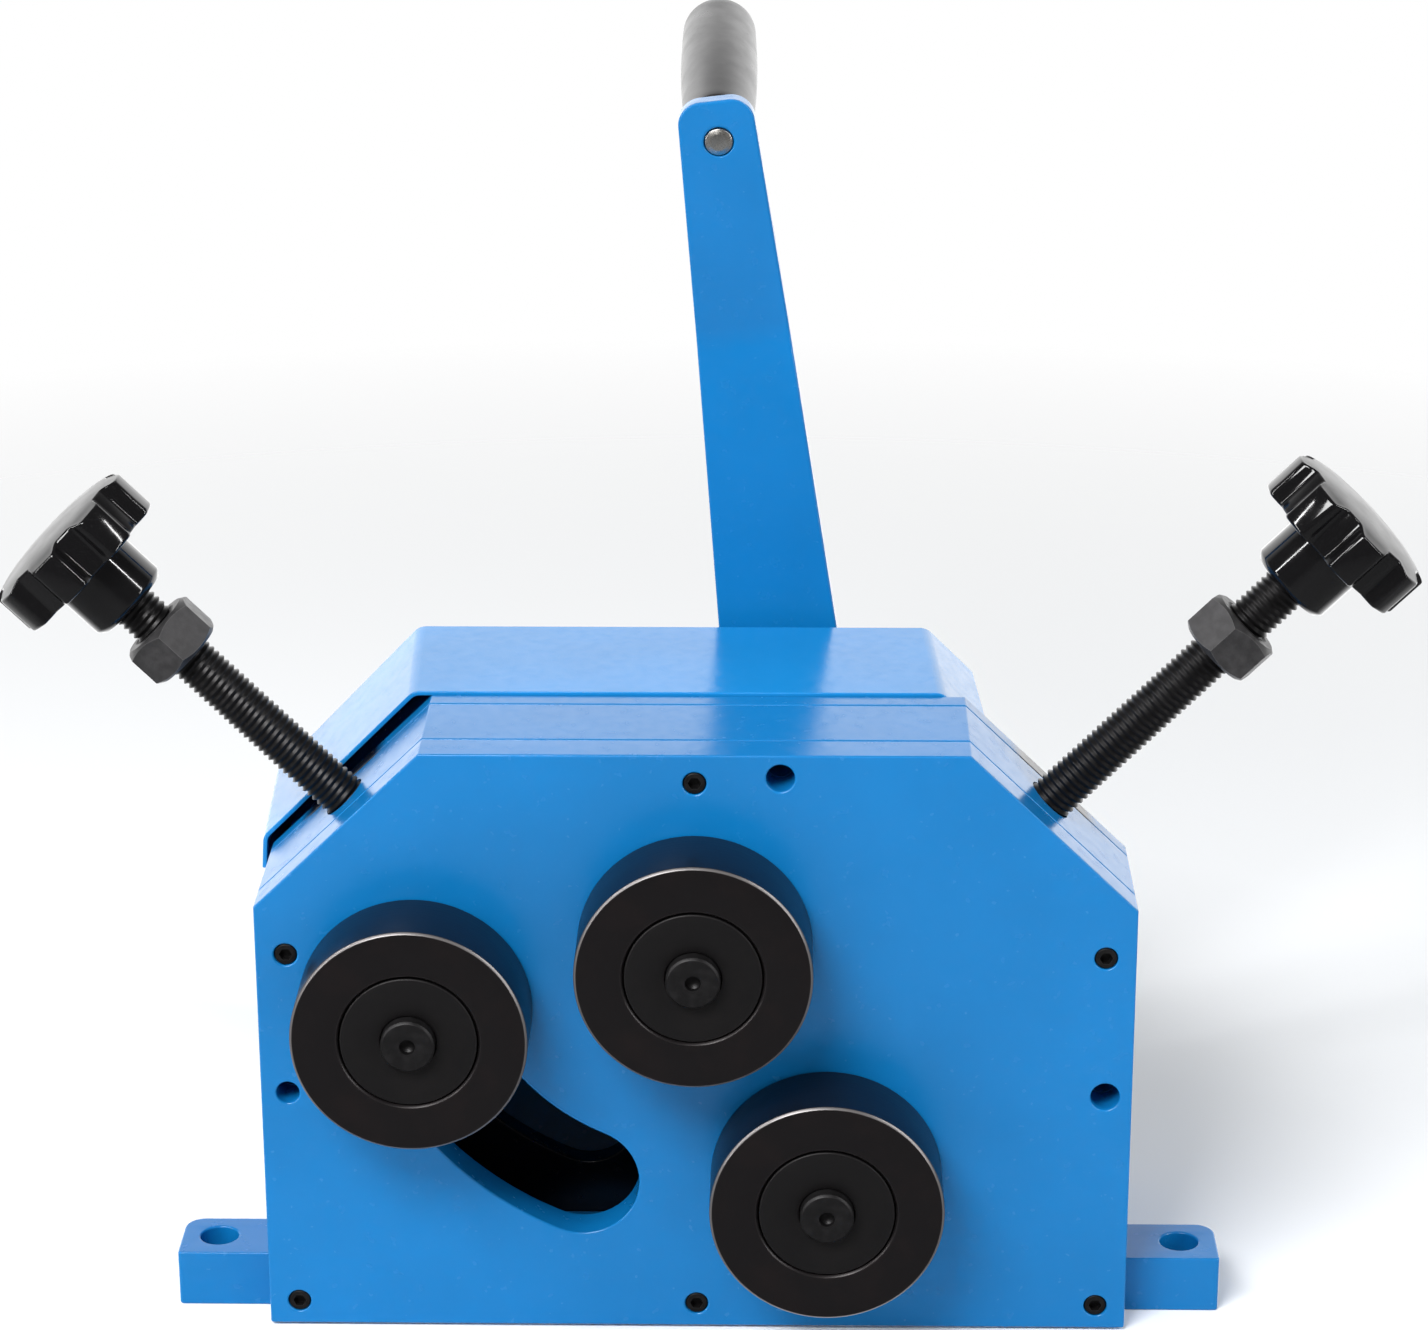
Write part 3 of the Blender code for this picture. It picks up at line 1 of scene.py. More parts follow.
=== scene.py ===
"""Looks of the ring roller: rounded edges, real threads, finishes and the studio.

Everything is in metres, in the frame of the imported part. X runs to the right
along the front plate, Y runs backwards and Z up.
"""
import json
import math

import bmesh
import bpy
from mathutils import Matrix, Vector
from mathutils.geometry import tessellate_polygon


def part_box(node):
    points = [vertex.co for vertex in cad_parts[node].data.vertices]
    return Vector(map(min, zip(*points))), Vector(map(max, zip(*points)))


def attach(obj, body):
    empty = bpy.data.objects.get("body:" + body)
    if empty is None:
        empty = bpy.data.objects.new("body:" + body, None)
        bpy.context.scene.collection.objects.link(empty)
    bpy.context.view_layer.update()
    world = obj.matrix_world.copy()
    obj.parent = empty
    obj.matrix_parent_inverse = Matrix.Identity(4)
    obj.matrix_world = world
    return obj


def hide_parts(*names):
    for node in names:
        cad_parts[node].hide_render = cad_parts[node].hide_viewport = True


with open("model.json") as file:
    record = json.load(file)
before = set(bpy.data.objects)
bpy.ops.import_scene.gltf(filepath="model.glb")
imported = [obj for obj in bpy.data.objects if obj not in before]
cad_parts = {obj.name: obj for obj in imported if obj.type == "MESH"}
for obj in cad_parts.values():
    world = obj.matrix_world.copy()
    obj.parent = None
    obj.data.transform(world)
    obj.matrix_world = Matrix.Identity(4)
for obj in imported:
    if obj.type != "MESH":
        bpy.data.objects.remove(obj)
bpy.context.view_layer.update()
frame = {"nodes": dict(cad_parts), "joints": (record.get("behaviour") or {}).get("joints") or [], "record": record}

scene = bpy.context.scene
record = frame["record"]
slot_of_node = {part["node"]: part["material_slot"] for part in record["subparts"]}
body_of_node = {node: body for body, nodes in record["behaviour"]["bodies"].items() for node in nodes}
joints = {joint["name"]: joint for joint in frame["joints"]}

HALF = 0.5
FULL_TURN = 2.0 * math.pi
QUARTER_TURN = HALF * math.pi
MERGE = 0.000001
UP = Vector((0.0, 0.0, 1.0))

# Photograph's camera, found from the plate's corners and holes
PHOTO_WIDTH = 1428
FOCAL_PIXELS = 4039.926
SENSOR_WIDTH = 36.0
CAMERA_PLACE = (0.030586, -1.290844, 0.698385)
CAMERA_YAW = math.radians(1.088)
CAMERA_PITCH = math.radians(19.695)
CAMERA_ROLL = math.radians(-0.151)

# Sizes that both the finishes and the rolls need
ROLL_RADIUS = 0.04
ROLL_FRONT = -0.0296
ROLL_BACK = -0.0006
ROLL_CHAMFER = 0.0008
RINGS_PER_METRE = 2600.0

# Where the middle plate is darkened to near black behind the front plate: painted shade in the hollow behind the
# slot
SHADE_HALF_WIDTH = 0.139
SHADE_TOP = 0.2
SHADE_FADE = 0.004
PAINTED_SHADE_COLOUR = (0.003, 0.0038, 0.0055)


class Wire:
    """One socket of a node tree; + * ** and abs on it, or a number less it, add Math nodes."""

    def __init__(self, maker, socket):
        self.maker = maker
        self.socket = socket

    def math(self, operation, first, second=0.0):
        return self.maker.node("ShaderNodeMath", {"operation": operation}, {0: first, 1: second})

    def __abs__(self):
        return self.math("ABSOLUTE", self)

    def __add__(self, other):
        return self.math("ADD", self, other)

    def __mul__(self, other):
        return self.math("MULTIPLY", self, other)

    def __rsub__(self, other):
        return self.math("SUBTRACT", other, self)

    def __pow__(self, other):
        return self.math("POWER", self, other)


class Nodes:
    """A node tree that is being filled."""

    def __init__(self, tree):
        self.tree = tree

    def feed(self, socket, value):
        """Link a wire to a socket, or set a plain value on it."""
        if isinstance(value, Wire):
            self.tree.links.new(value.socket, socket)
        elif socket.type == "RGBA":
            socket.default_value = (*value, 1.0)
        else:
            socket.default_value = value

    def node(self, kind, settings=None, inputs=None, output=0):
        """A node with its settings made first and its inputs fed; gives one of its outputs."""
        made = self.tree.nodes.new(kind)
        for key, value in (settings or {}).items():
            setattr(made, key, value)
        for key, value in (inputs or {}).items():
            self.feed(made.inputs[key], value)
        return Wire(self, made.outputs[output])

    def parts(self, where):
        """The three lengths that a place or direction is made of."""
        return [self.node("ShaderNodeSeparateXYZ", inputs={0: where}, output=index) for index in range(3)]

    def stretch(self, value, low, high, to_low=0.0, to_high=1.0):
        """Map a value from one span onto another, and clip it there."""
        inputs = {0: value, 1: low, 2: high, 3: to_low, 4: to_high}
        return self.node("ShaderNodeMapRange", {"clamp": True}, inputs)


class Finish(Nodes):
    """A material that is being made."""

    def __init__(self, name, colour, roughness, metallic=0.0):
        self.material = bpy.data.materials.new(name)
        self.material.use_nodes = True
        self.material.diffuse_color = (*colour, 1.0)
        super().__init__(self.material.node_tree)
        self.shader = self.tree.nodes["Principled BSDF"]
        self.set("Base Color", colour)
        self.set("Roughness", roughness)
        self.set("Metallic", metallic)

    def set(self, name, value):
        self.feed(self.shader.inputs[name], value)

    def place(self, scale=(1.0, 1.0, 1.0)):
        """Where a point lies on its piece, in metres times the scale."""
        here = self.node("ShaderNodeTexCoord", output="Object")
        return self.node("ShaderNodeMapping", inputs={"Vector": here, "Scale": scale})

    def noise(self, size, detail=2.0, rough=0.5, where=None):
        """Clouds of about one size in metres, from 0 to 1."""
        inputs = {"Vector": where or self.place(), "Scale": 1.0 / size, "Detail": detail, "Roughness": rough}
        return self.node("ShaderNodeTexNoise", {"noise_dimensions": "3D"}, inputs)

    def blend(self, share, first, second):
        """Mix of two colours, by the colour sockets of a Mix node."""
        return self.node("ShaderNodeMix", {"data_type": "RGBA"}, {0: share, 6: first, 7: second}, 2)

    # Edge mask used both for rubbed wear and for painted edge highlights.
    def edge_wear_and_highlight(self, reach):
        """About 0 on flat faces, rising to 1 on edges narrower than the reach."""
        softened_normal = self.node("ShaderNodeBevel", {"samples": 6}, {"Radius": reach})
        plain = self.node("ShaderNodeNewGeometry", output="Normal")
        normals = {0: softened_normal, 1: plain}
        level = self.node("ShaderNodeVectorMath", {"operation": "DOT_PRODUCT"}, normals, "Value")
        return self.stretch(level, 0.995, 0.8)

    def bump(self, height, depth):
        """Relief of a depth in metres from a height of 0 to 1."""
        inputs = {"Height": height, "Strength": 1.0, "Distance": depth}
        self.set("Normal", self.node("ShaderNodeBump", inputs=inputs))


def enamel(name, colour, peel_depth, gloss, shaded_inside=False):
    """Sprayed enamel over steel: orange peel, faint clouds, a few specks, edges paled for rubbed wear and a
    painted edge highlight, and on request painted shade on the part hidden behind the front plate.
    """
    made = Finish(name, colour, gloss)
    clouds = made.noise(0.045, 3.0)
    peel = made.noise(0.0013, 2.0, 0.55)
    grain = made.noise(0.0045, 2.0)
    specks = made.stretch(made.noise(0.0021, 1.0), 0.7, 0.78)
    edge = made.edge_wear_and_highlight(0.0009)
    pale = tuple(min(1.0, 0.75 * c + 0.22) for c in colour)
    deep = tuple(0.86 * c for c in colour)
    base = made.blend(made.stretch(clouds, 0.35, 0.7, 0.0, 0.55), colour, deep)
    base = made.blend(specks * 0.025, base, pale)
    # Edges paled: partly rubbed wear, partly painted highlight where the rounded edges catch the light.
    base = made.blend(edge * 0.22, base, pale)
    # Painted shade: the middle plate's face inside the slot's hollow is darkened to near black.
    if shaded_inside:
        sideways, _, height = made.parts(made.place())
        between = made.stretch(abs(sideways), SHADE_HALF_WIDTH, SHADE_HALF_WIDTH - SHADE_FADE)
        below = made.stretch(height, SHADE_TOP, SHADE_TOP - SHADE_FADE)
        base = made.blend(between * below, base, PAINTED_SHADE_COLOUR)
    made.set("Base Color", base)
    made.set("Roughness", made.stretch(grain, 0.3, 0.7, gloss - 0.04, gloss + 0.06))
    made.set("IOR", 1.52)
    made.set("Specular IOR Level", 0.38)
    made.bump(peel + grain * 1.5, peel_depth)
    return made.material


def turned_steel(name, colour, roughness, ring_depth, rust, side_reflection_colour):
    """Blackened steel from the lathe: fine rings round its own axis, edges paled for bare wear and a painted
    highlight, a painted highlight on the roll's front chamfer and a painted reflection of the blue plate on the
    roll's side.
    """
    made = Finish(name, colour, roughness, 0.55)
    x, y, z = made.parts(made.node("ShaderNodeTexCoord", output="Object"))
    radius = (x * x + y * y) ** HALF
    rings = made.node("ShaderNodeCombineXYZ", inputs={0: radius * RINGS_PER_METRE, 1: z * RINGS_PER_METRE})
    marks = made.node("ShaderNodeTexNoise", inputs={"Vector": rings, "Scale": 1.0, "Detail": 2.0})
    blotch = made.noise(0.012, 3.0)
    edge = made.edge_wear_and_highlight(0.0007)
    base = made.blend(made.stretch(blotch, 0.45, 0.75, 0.0, 0.6), colour, rust)
    outermost = made.stretch(radius, ROLL_RADIUS - 0.0012, ROLL_RADIUS - 0.0008)
    side_reflection_mask = outermost * made.stretch(z, ROLL_FRONT + 0.0007, ROLL_FRONT + 0.001)
    on_rim = made.stretch(radius, ROLL_RADIUS - 0.0009, ROLL_RADIUS - 0.0007)
    chamfer_highlight_mask = on_rim * made.stretch(z, ROLL_FRONT + 0.0008, ROLL_FRONT + 0.0006)
    # Painted reflection: the roll's round side is tinted navy as if mirroring the blue plate behind it.
    base = made.blend(side_reflection_mask, base, side_reflection_colour)
    # Painted highlight: a pale grey ring on the roll's front chamfer.
    base = made.blend(chamfer_highlight_mask, base, (0.16, 0.15, 0.15))
    # Edges paled: partly bare-steel wear, partly painted highlight where the rounded edges catch the light.
    base = made.blend(edge * 0.6, base, (0.18, 0.165, 0.16))
    made.set("Base Color", base)
    made.set("Roughness", made.stretch(marks, 0.3, 0.7, roughness - 0.05, roughness + 0.08))
    made.bump(marks, ring_depth)
    return made.material


def machined_steel(name, colour, roughness):
    """Ground or cut steel, bright, with fine scratches and a little oil stain."""
    made = Finish(name, colour, roughness, 1.0)
    stain = made.noise(0.016, 4.0)
    scratch = made.noise(0.0006, 2.0, where=made.place((1.0, 6.0, 1.0)))
    dark = tuple(0.45 * c for c in colour)
    made.set("Base Color", made.blend(made.stretch(stain, 0.45, 0.7, 0.0, 0.7), colour, dark))
    made.set("Roughness", made.stretch(scratch, 0.3, 0.7, roughness - 0.06, roughness + 0.1))
    made.bump(scratch, 0.00003)
    return made.material


def oxide_steel(name, colour, roughness, edge_wear_and_highlight_colour, metallic=0.6):
    """Black oxide or dull heat-treated steel, a little mottled, with edges paled for rubbed wear and a painted
    highlight.
    """
    made = Finish(name, colour, roughness, metallic)
    mottle = made.noise(0.0035, 4.0)
    fine = made.noise(0.0005, 2.0)
    edge = made.edge_wear_and_highlight(0.0005)
    pale = tuple(1.7 * c for c in colour)
    base = made.blend(made.stretch(mottle, 0.4, 0.72, 0.0, 0.8), colour, pale)
    # Edges paled: partly rubbed wear, partly painted highlight where the rounded edges catch the light.
    made.set("Base Color", made.blend(edge * 0.6, base, edge_wear_and_highlight_colour))
    made.set("Roughness", made.stretch(mottle, 0.3, 0.7, roughness - 0.06, roughness + 0.1))
    made.bump(fine, 0.00004)
    return made.material


def moulded_plastic(name, colour, roughness):
    """Glossy moulding with a faint flow pattern, fine scuffs and satin ends."""
    made = Finish(name, colour, roughness)
    flow = made.noise(0.009, 3.0)
    scuffs = made.stretch(made.noise(0.0012, 4.0, 0.7), 0.6, 0.75)
    facing = made.parts(made.node("ShaderNodeTexCoord", output="Normal"))[2]
    satin = made.stretch(facing, 0.8, 0.95, 0.0, 0.24)
    sheen = made.stretch(flow, 0.3, 0.7, roughness - 0.03, roughness + 0.04)
    made.set("Roughness", sheen + scuffs * 0.1 + satin)
    pale = tuple(c + 0.02 for c in colour)
    made.set("Base Color", made.blend(scuffs * 0.4, colour, pale))
    made.set("Specular IOR Level", 0.42)
    made.bump(flow, 0.00005)
    return made.material


def bronze(name, colour):
    """Turned bearing bronze with a brown film."""
    made = Finish(name, colour, 0.34, 1.0)
    film = made.noise(0.006, 4.0)
    base = made.blend(made.stretch(film, 0.4, 0.7), colour, (0.16, 0.075, 0.025))
    made.set("Base Color", base)
    made.set("Roughness", made.stretch(film, 0.3, 0.7, 0.28, 0.48))
    made.bump(made.noise(0.0007), 0.00003)
    return made.material


PLATE_COLOUR = (0.0035, 0.16, 0.43)
BLUE = enamel("sprayed_blue_enamel", PLATE_COLOUR, 0.000018, 0.22)
# Blue enamel with painted shade: the middle plate's face behind the front plate is darkened to near black.
SHADED_INSIDE_BLUE = enamel("inside_shaded_blue_enamel", PLATE_COLOUR, 0.000018, 0.22, shaded_inside=True)
SHEET_BLUE = enamel("sheet_blue_enamel", (0.007, 0.212, 0.54), 0.000022, 0.2)
# The roll's side colour is a painted reflection of the blue plate; the cap's side keeps its own colour.
ROLL_BLACK = turned_steel(
    "blackened_roll_face", (0.0095, 0.0078, 0.0086), 0.34, 0.000012,
    rust=(0.015, 0.01, 0.01), side_reflection_colour=(0.0065, 0.0105, 0.0215))
CAP_BLACK = turned_steel(
    "blackened_cap_face", (0.009, 0.0082, 0.0088), 0.42, 0.00002,
    rust=(0.013, 0.011, 0.011), side_reflection_colour=(0.009, 0.0082, 0.0088))
NUB_GREY = oxide_steel("cut_shaft_end", (0.011, 0.0104, 0.011), 0.46, (0.03, 0.03, 0.03))
SHAFT_GREY = machined_steel("ground_shaft", (0.42, 0.41, 0.4), 0.26)
GEAR_GREY = machined_steel("hobbed_gear_steel", (0.3, 0.29, 0.28), 0.34)
BLACK_OXIDE = oxide_steel("black_oxide", (0.0105, 0.01, 0.0105), 0.4, (0.05, 0.05, 0.05))
SCREW_BLACK = oxide_steel("black_screw_thread", (0.0068, 0.0063, 0.0066), 0.36, (0.04, 0.038, 0.038))
NUT_GREY = oxide_steel("dull_nut", (0.034, 0.0328, 0.034), 0.45, (0.16, 0.16, 0.16), 0.35)
KNOB_BLACK = moulded_plastic("black_phenolic", (0.0045, 0.0043, 0.0047), 0.07)
GRIP_GREY = moulded_plastic("grey_grip", (0.017, 0.0163, 0.017), 0.3)
BRONZE = bronze("oiled_bronze", (0.46, 0.27, 0.1))
ZINC = machined_steel("zinc_plate", (0.62, 0.6, 0.56), 0.28)

DRILL_SIDES = 48
ROUND_SIDES = 96


def stand_in(node, mesh, material, place=None, smooth_angle=32.0):
    """Show a mesh in place of a node, on the node's own body."""
    mesh.materials.clear()
    mesh.materials.append(material)
    mesh.shade_smooth()
    mesh.set_sharp_from_angle(angle=math.radians(smooth_angle))
    piece = bpy.data.objects.new(f"{node}_form", mesh)
    scene.collection.objects.link(piece)
    if place:
        piece.matrix_world = place
    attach(piece, body_of_node[node])
    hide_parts(node)
    return piece


def levelled(piece):
    """Keep the broad faces flat beside their rounded edges."""
    level = piece.modifiers.new("level_faces", "WEIGHTED_NORMAL")
    level.keep_sharp = True
    return piece


def finished_mesh(name, shape):
    """A mesh from a bmesh, with merged points and outward faces."""
    bmesh.ops.remove_doubles(shape, verts=shape.verts, dist=MERGE)
    bmesh.ops.dissolve_degenerate(shape, edges=shape.edges, dist=MERGE)
    bmesh.ops.recalc_face_normals(shape, faces=shape.faces)
    mesh = bpy.data.meshes.new(name)
    shape.to_mesh(mesh)
    shape.free()
    return mesh


def bridge(shape, lower, upper):
    """Faces between two closed loops of the same length."""
    count = len(lower)
    for index in range(count):
        after = (index + 1) % count
        shape.faces.new((lower[index], lower[after], upper[after], upper[index]))


def rounded(corners, radii, steps=5, closed=True):
    """Points of an outline whose corners are rounded, each by its own radius."""
    points = []
    count = len(corners)
    for index, corner in enumerate(corners):
        here = Vector(corner)
        radius = radii[index]
        if not radius or (not closed and index in (0, count - 1)):
            points.append(here)
            continue
        back = (Vector(corners[index - 1]) - here).normalized()
        ahead = (Vector(corners[(index + 1) % count]) - here).normalized()
        half_angle = HALF * back.angle(ahead)
        if abs(half_angle - QUARTER_TURN) < 0.001:
            points.append(here)
            continue
        reach = radius / math.tan(half_angle)
        middle = here + (back + ahead).normalized() * radius / math.sin(half_angle)
        first = here + back * reach - middle
        turn = first.angle_signed(here + ahead * reach - middle)
        for step in range(steps + 1):
            swing = -turn * step / steps
            points.append(middle + Matrix.Rotation(swing, 2) @ first)
    return points


def arc(centre, radius, start, end, steps):
    """Points along an arc, ends included."""
    middle = Vector(centre)
    turns = [start + (end - start) * step / steps for step in range(steps + 1)]
    return [middle + radius * Vector((math.cos(turn), math.sin(turn))) for turn in turns]


def circle(x, z, radius, sides=DRILL_SIDES):
    """A round outline."""
    return arc((x, z), radius, 0.0, FULL_TURN, sides)[:-1]


def around(shape, turn, points):
    """Corners from (radius, height) points, all at one turn about Z."""
    ahead = Vector((math.cos(turn), math.sin(turn)))
    return [shape.verts.new((*(radius * ahead), height)) for radius, height in points]


def turned(name, columns, ring=False, capped=False, first=0.0):
    """A piece from columns of (radius, height) points, set evenly about Z and joined side by side."""
    shape = bmesh.new()
    step = FULL_TURN / len(columns)
    corners = [around(shape, step * (side + first), column) for side, column in enumerate(columns)]
    loops = list(zip(*corners))
    for lower, upper in zip(loops, loops[1:]):
        bridge(shape, lower, upper)
    if ring:
        bridge(shape, loops[-1], loops[0])
    if capped:
        shape.faces.new(loops[0])
        shape.faces.new(loops[-1])
    return finished_mesh(name, shape)


def spun(name, profile, sides=ROUND_SIDES, ring=False):
    """A round piece from (radius, height) points about Z; a ring closes on itself."""
    return turned(name, [profile] * sides, ring)


def soft_profile(points, edge, steps=3):
    """A turned profile with every corner off its axis eased by the same small radius."""
    radii = [edge if point[0] > edge else 0.0 for point in points]
    return [tuple(point) for point in rounded(points, radii, steps, closed=False)]


def soft_ring(points, edge, steps=3):
    """A ring's closed profile with all its corners eased."""
    return [tuple(point) for point in rounded(points, [edge] * len(points), steps)]


def sleeve(inner, outer, low, high, edge):
    """A ring's profile with eased corners."""
    return soft_ring([(inner, low), (outer, low), (outer, high), (inner, high)], edge)


def faced(loop, material_inside):
    """An outline run so that its material lies on its left."""
    points = [Vector(point) for point in loop]
    area = sum(a.x * b.y - b.x * a.y for a, b in zip(points, points[1:] + points[:1]))
    return points if (area > 0.0) == material_inside else points[::-1]


def inset(loop, distance):
    """An outline moved into its material by a distance."""
    moved = []
    for index, here in enumerate(loop):
        back = (here - loop[index - 1]).normalized()
        ahead = (loop[(index + 1) % len(loop)] - here).normalized()
        middle = (back + ahead).orthogonal().normalized()
        moved.append(here + middle * distance / max(0.3, middle.dot(back.orthogonal())))
    return moved


def quarter_round(radius, steps=3):
    """How far each step of a rounded edge lies in from the side and up from the face."""
    turns = [QUARTER_TURN * step / steps for step in range(steps + 1)]
    return [(radius * (1.0 - math.sin(turn)), radius * (1.0 - math.cos(turn))) for turn in turns]


def plate(name, outline, holes, low, high, edge, upright=True):
    """A flat piece with holes and rounded edges, which stands in XZ or lies in XY."""
    shape = bmesh.new()
    levels = quarter_round(edge)
    rows = [(into, low + rise) for into, rise in levels]
    rows += [(into, high - rise) for into, rise in levels[::-1]]
    near = []
    far = []
    for loop in [faced(outline, True)] + [faced(hole, False) for hole in holes]:
        made = []
        for into, level in rows:
            moved = inset(loop, into)
            made.append([shape.verts.new((p.x, level, p.y) if upright else (p.x, p.y, level)) for p in moved])
        for lower, upper in zip(made, made[1:]):
            bridge(shape, lower, upper)
        near.append(made[0])
        far.append(made[-1])
    for end in (near, far):
        points = [point for loop in end for point in loop]
        for corners in tessellate_polygon([[point.co for point in loop] for loop in end]):
            shape.faces.new([points[index] for index in corners])
    return finished_mesh(name, shape)


def combined(mesh, tool, operation="DIFFERENCE"):
    """A mesh with a tool's mesh cut out of it or joined on."""
    kept = bpy.data.objects.new("worked", mesh)
    other = bpy.data.objects.new("tool", tool)
    scene.collection.objects.link(kept)
    scene.collection.objects.link(other)
    step = kept.modifiers.new("step", "BOOLEAN")
    step.operation = operation
    step.solver = "EXACT"
    step.object = other
    bpy.context.view_layer.update()
    made = bpy.data.meshes.new_from_object(kept.evaluated_get(bpy.context.evaluated_depsgraph_get()))
    bpy.data.objects.remove(kept)
    bpy.data.objects.remove(other)
    return made


def bars(rods, sides=DRILL_SIDES):
    """Plain round bars as one tool, each from its place, radius, low end and high end."""
    shape = bmesh.new()
    for place, radius, low, high in rods:
        bmesh.ops.create_cone(
            shape, cap_ends=True, segments=sides, radius1=radius, radius2=radius, depth=high - low,
            matrix=place @ Matrix.Translation((0.0, 0.0, HALF * (low + high))))
    return finished_mesh("bars", shape)


def prism(outline, low, high, place):
    """An outline in X and Y of a place, run from low to high along its Z."""
    shape = bmesh.new()
    lower = [shape.verts.new(place @ Vector((x, y, low))) for x, y in outline]
    upper = [shape.verts.new(place @ Vector((x, y, high))) for x, y in outline]
    shape.faces.new(lower)
    shape.faces.new(upper)
    bridge(shape, lower, upper)
    return finished_mesh("prism", shape)


def softened(node, material, edge):
    """A node's own solid with its facets joined and its edges rounded."""
    shape = bmesh.new()
    shape.from_mesh(frame["nodes"][node].data)
    bmesh.ops.remove_doubles(shape, verts=shape.verts, dist=MERGE)
    bmesh.ops.dissolve_limit(shape, angle_limit=math.radians(0.5), verts=shape.verts, edges=shape.edges)
    piece = stand_in(node, finished_mesh(node, shape), material)
    step = piece.modifiers.new("rounded_edges", "BEVEL")
    step.width = edge
    step.segments = 2
    step.limit_method = "ANGLE"
    step.angle_limit = math.radians(40.0)
    step.harden_normals = True
    return piece


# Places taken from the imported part
plate_low, plate_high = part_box("front_plate")
arch_low, arch_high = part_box("frame_arch")
middle_low, middle_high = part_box("middle_plate")
rear_low, rear_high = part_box("rear_plate")
bar_low, bar_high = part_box("base_bar")
lever_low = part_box("crank_lever")[0]
FACE = plate_low.y
CENTRE = Vector(joints["centre_spin"]["pos_m"]).xz
DRIVE = Vector(joints["drive_spin"]["pos_m"]).xz
SWING = Vector(joints["swing_roll_spin"]["pos_m"]).xz

# Sizes shared by several pieces
PLAY = 0.0003
EDGE = 0.0007
CORNER = (0.0575, 0.0558)
OUTLINE_ROUND = 0.0009
FRAME_WALL = 0.016
SHAFT_RADIUS = 0.0125
BUSH_RADIUS = 0.017
FLUSH_RADIUS = 0.0037
HALF_PLATE = plate_high.x
SCREW_LEAN = math.radians(45.0)
SCREW_RADIUS = 0.008
INTO_PLATE = Matrix.Rotation(-QUARTER_TURN, 4, "X")
FLUSH_SPOTS = {
    "left_high": (-0.1396, 0.1422), "left_low": (-0.1396, 0.0097), "right_high": (0.1396, 0.1422),
    "right_low": (0.1396, 0.0097), "top": (0.0, 0.2053), "bottom": (0.0, 0.0097)}
OPEN_HOLES = ((0.0288, 0.2073, 0.00485), (0.1407, 0.0904, 0.005), (-0.1407, 0.0904, 0.004))


def on_face(x, z):
    """A place on the front plate's face whose Z runs backwards."""
    return Matrix.Translation((x, FACE, z)) @ INTO_PLATE


def house(half_left, half_right, low, high, left_corner, right_corner):
    """Outline of a plate with sloping top corners."""
    return [
        (-half_left, low), (-half_left, high - left_corner[1]), (-half_left + left_corner[0], high),
        (half_right - right_corner[0], high), (half_right, high - right_corner[1]), (half_right, low)]


SLOT_REACH = 0.0985
SLOT_STEEP = math.pi + math.radians(66.2)
SLOT_SHALLOW = math.pi + math.radians(7.5)
FRONT_SLOT_HALF = 0.02
MIDDLE_SLOT_HALF = 0.017


def curved_slot(half_width):
    """The slot that the swinging shaft travels in."""
    low, high = (
        CENTRE + SLOT_REACH * Vector((math.cos(turn), math.sin(turn))) for turn in (SLOT_STEEP, SLOT_SHALLOW))
    line = arc(CENTRE, SLOT_REACH + half_width, SLOT_SHALLOW, SLOT_STEEP, 40)
    line += arc(low, half_width, SLOT_STEEP, SLOT_STEEP + math.pi, 24)[1:-1]
    line += arc(CENTRE, SLOT_REACH - half_width, SLOT_STEEP, SLOT_SHALLOW, 32)
    line += arc(high, half_width, SLOT_SHALLOW + math.pi, SLOT_SHALLOW + FULL_TURN, 24)[1:-1]
    return line


def shaft_holes(radius):
    return [circle(place.x, place.y, radius, ROUND_SIDES) for place in (CENTRE, DRIVE)]


plate_line = rounded(
    house(HALF_PLATE, HALF_PLATE, plate_low.z, plate_high.z, CORNER, CORNER), [OUTLINE_ROUND] * 6)
front_holes = [curved_slot(FRONT_SLOT_HALF)] + shaft_holes(BUSH_RADIUS + PLAY)
front_holes += [circle(x, z, FLUSH_RADIUS + PLAY) for x, z in FLUSH_SPOTS.values()]
front_holes += [circle(x, z, radius) for x, z, radius in OPEN_HOLES]
levelled(stand_in(
    "front_plate", plate("front_plate", plate_line, front_holes, plate_low.y, plate_high.y, EDGE), BLUE))
middle_holes = [curved_slot(MIDDLE_SLOT_HALF)] + shaft_holes(SHAFT_RADIUS + 2.0 * PLAY)
middle_plate = plate("middle_plate", plate_line, middle_holes, middle_low.y, middle_high.y, EDGE)
# The middle plate carries painted shade behind the front plate.
levelled(stand_in("middle_plate", middle_plate, SHADED_INSIDE_BLUE))


def screw_place(side):
    """The place of an adjusting screw: its Z runs outwards from the middle of the sloping corner."""
    middle = (
        side * (HALF_PLATE - HALF * CORNER[0]), HALF * (arch_low.y + arch_high.y),
        arch_high.z - HALF * CORNER[1])
    return Matrix.Translation(middle) @ Matrix.Rotation(side * SCREW_LEAN, 4, "Y")


INNER_ROUND = 0.004
BLOCK_HALF_WIDTH = 0.018
BLOCK_HALF_DEPTH = 0.0166
BLOCK_LOW = -0.028
BLOCK_HIGH = -0.0024
BORE_LOW = -0.06
BORE_HIGH = 0.004
OVERCUT = 0.002
OPEN_HOLE_DEPTH = 0.0192
FLUSH_HOLE_FRONT = 0.012
FLUSH_HOLE_BACK = 0.026


def box_outline(left, right, low, high):
    return [(left, low), (right, low), (right, high), (left, high)]


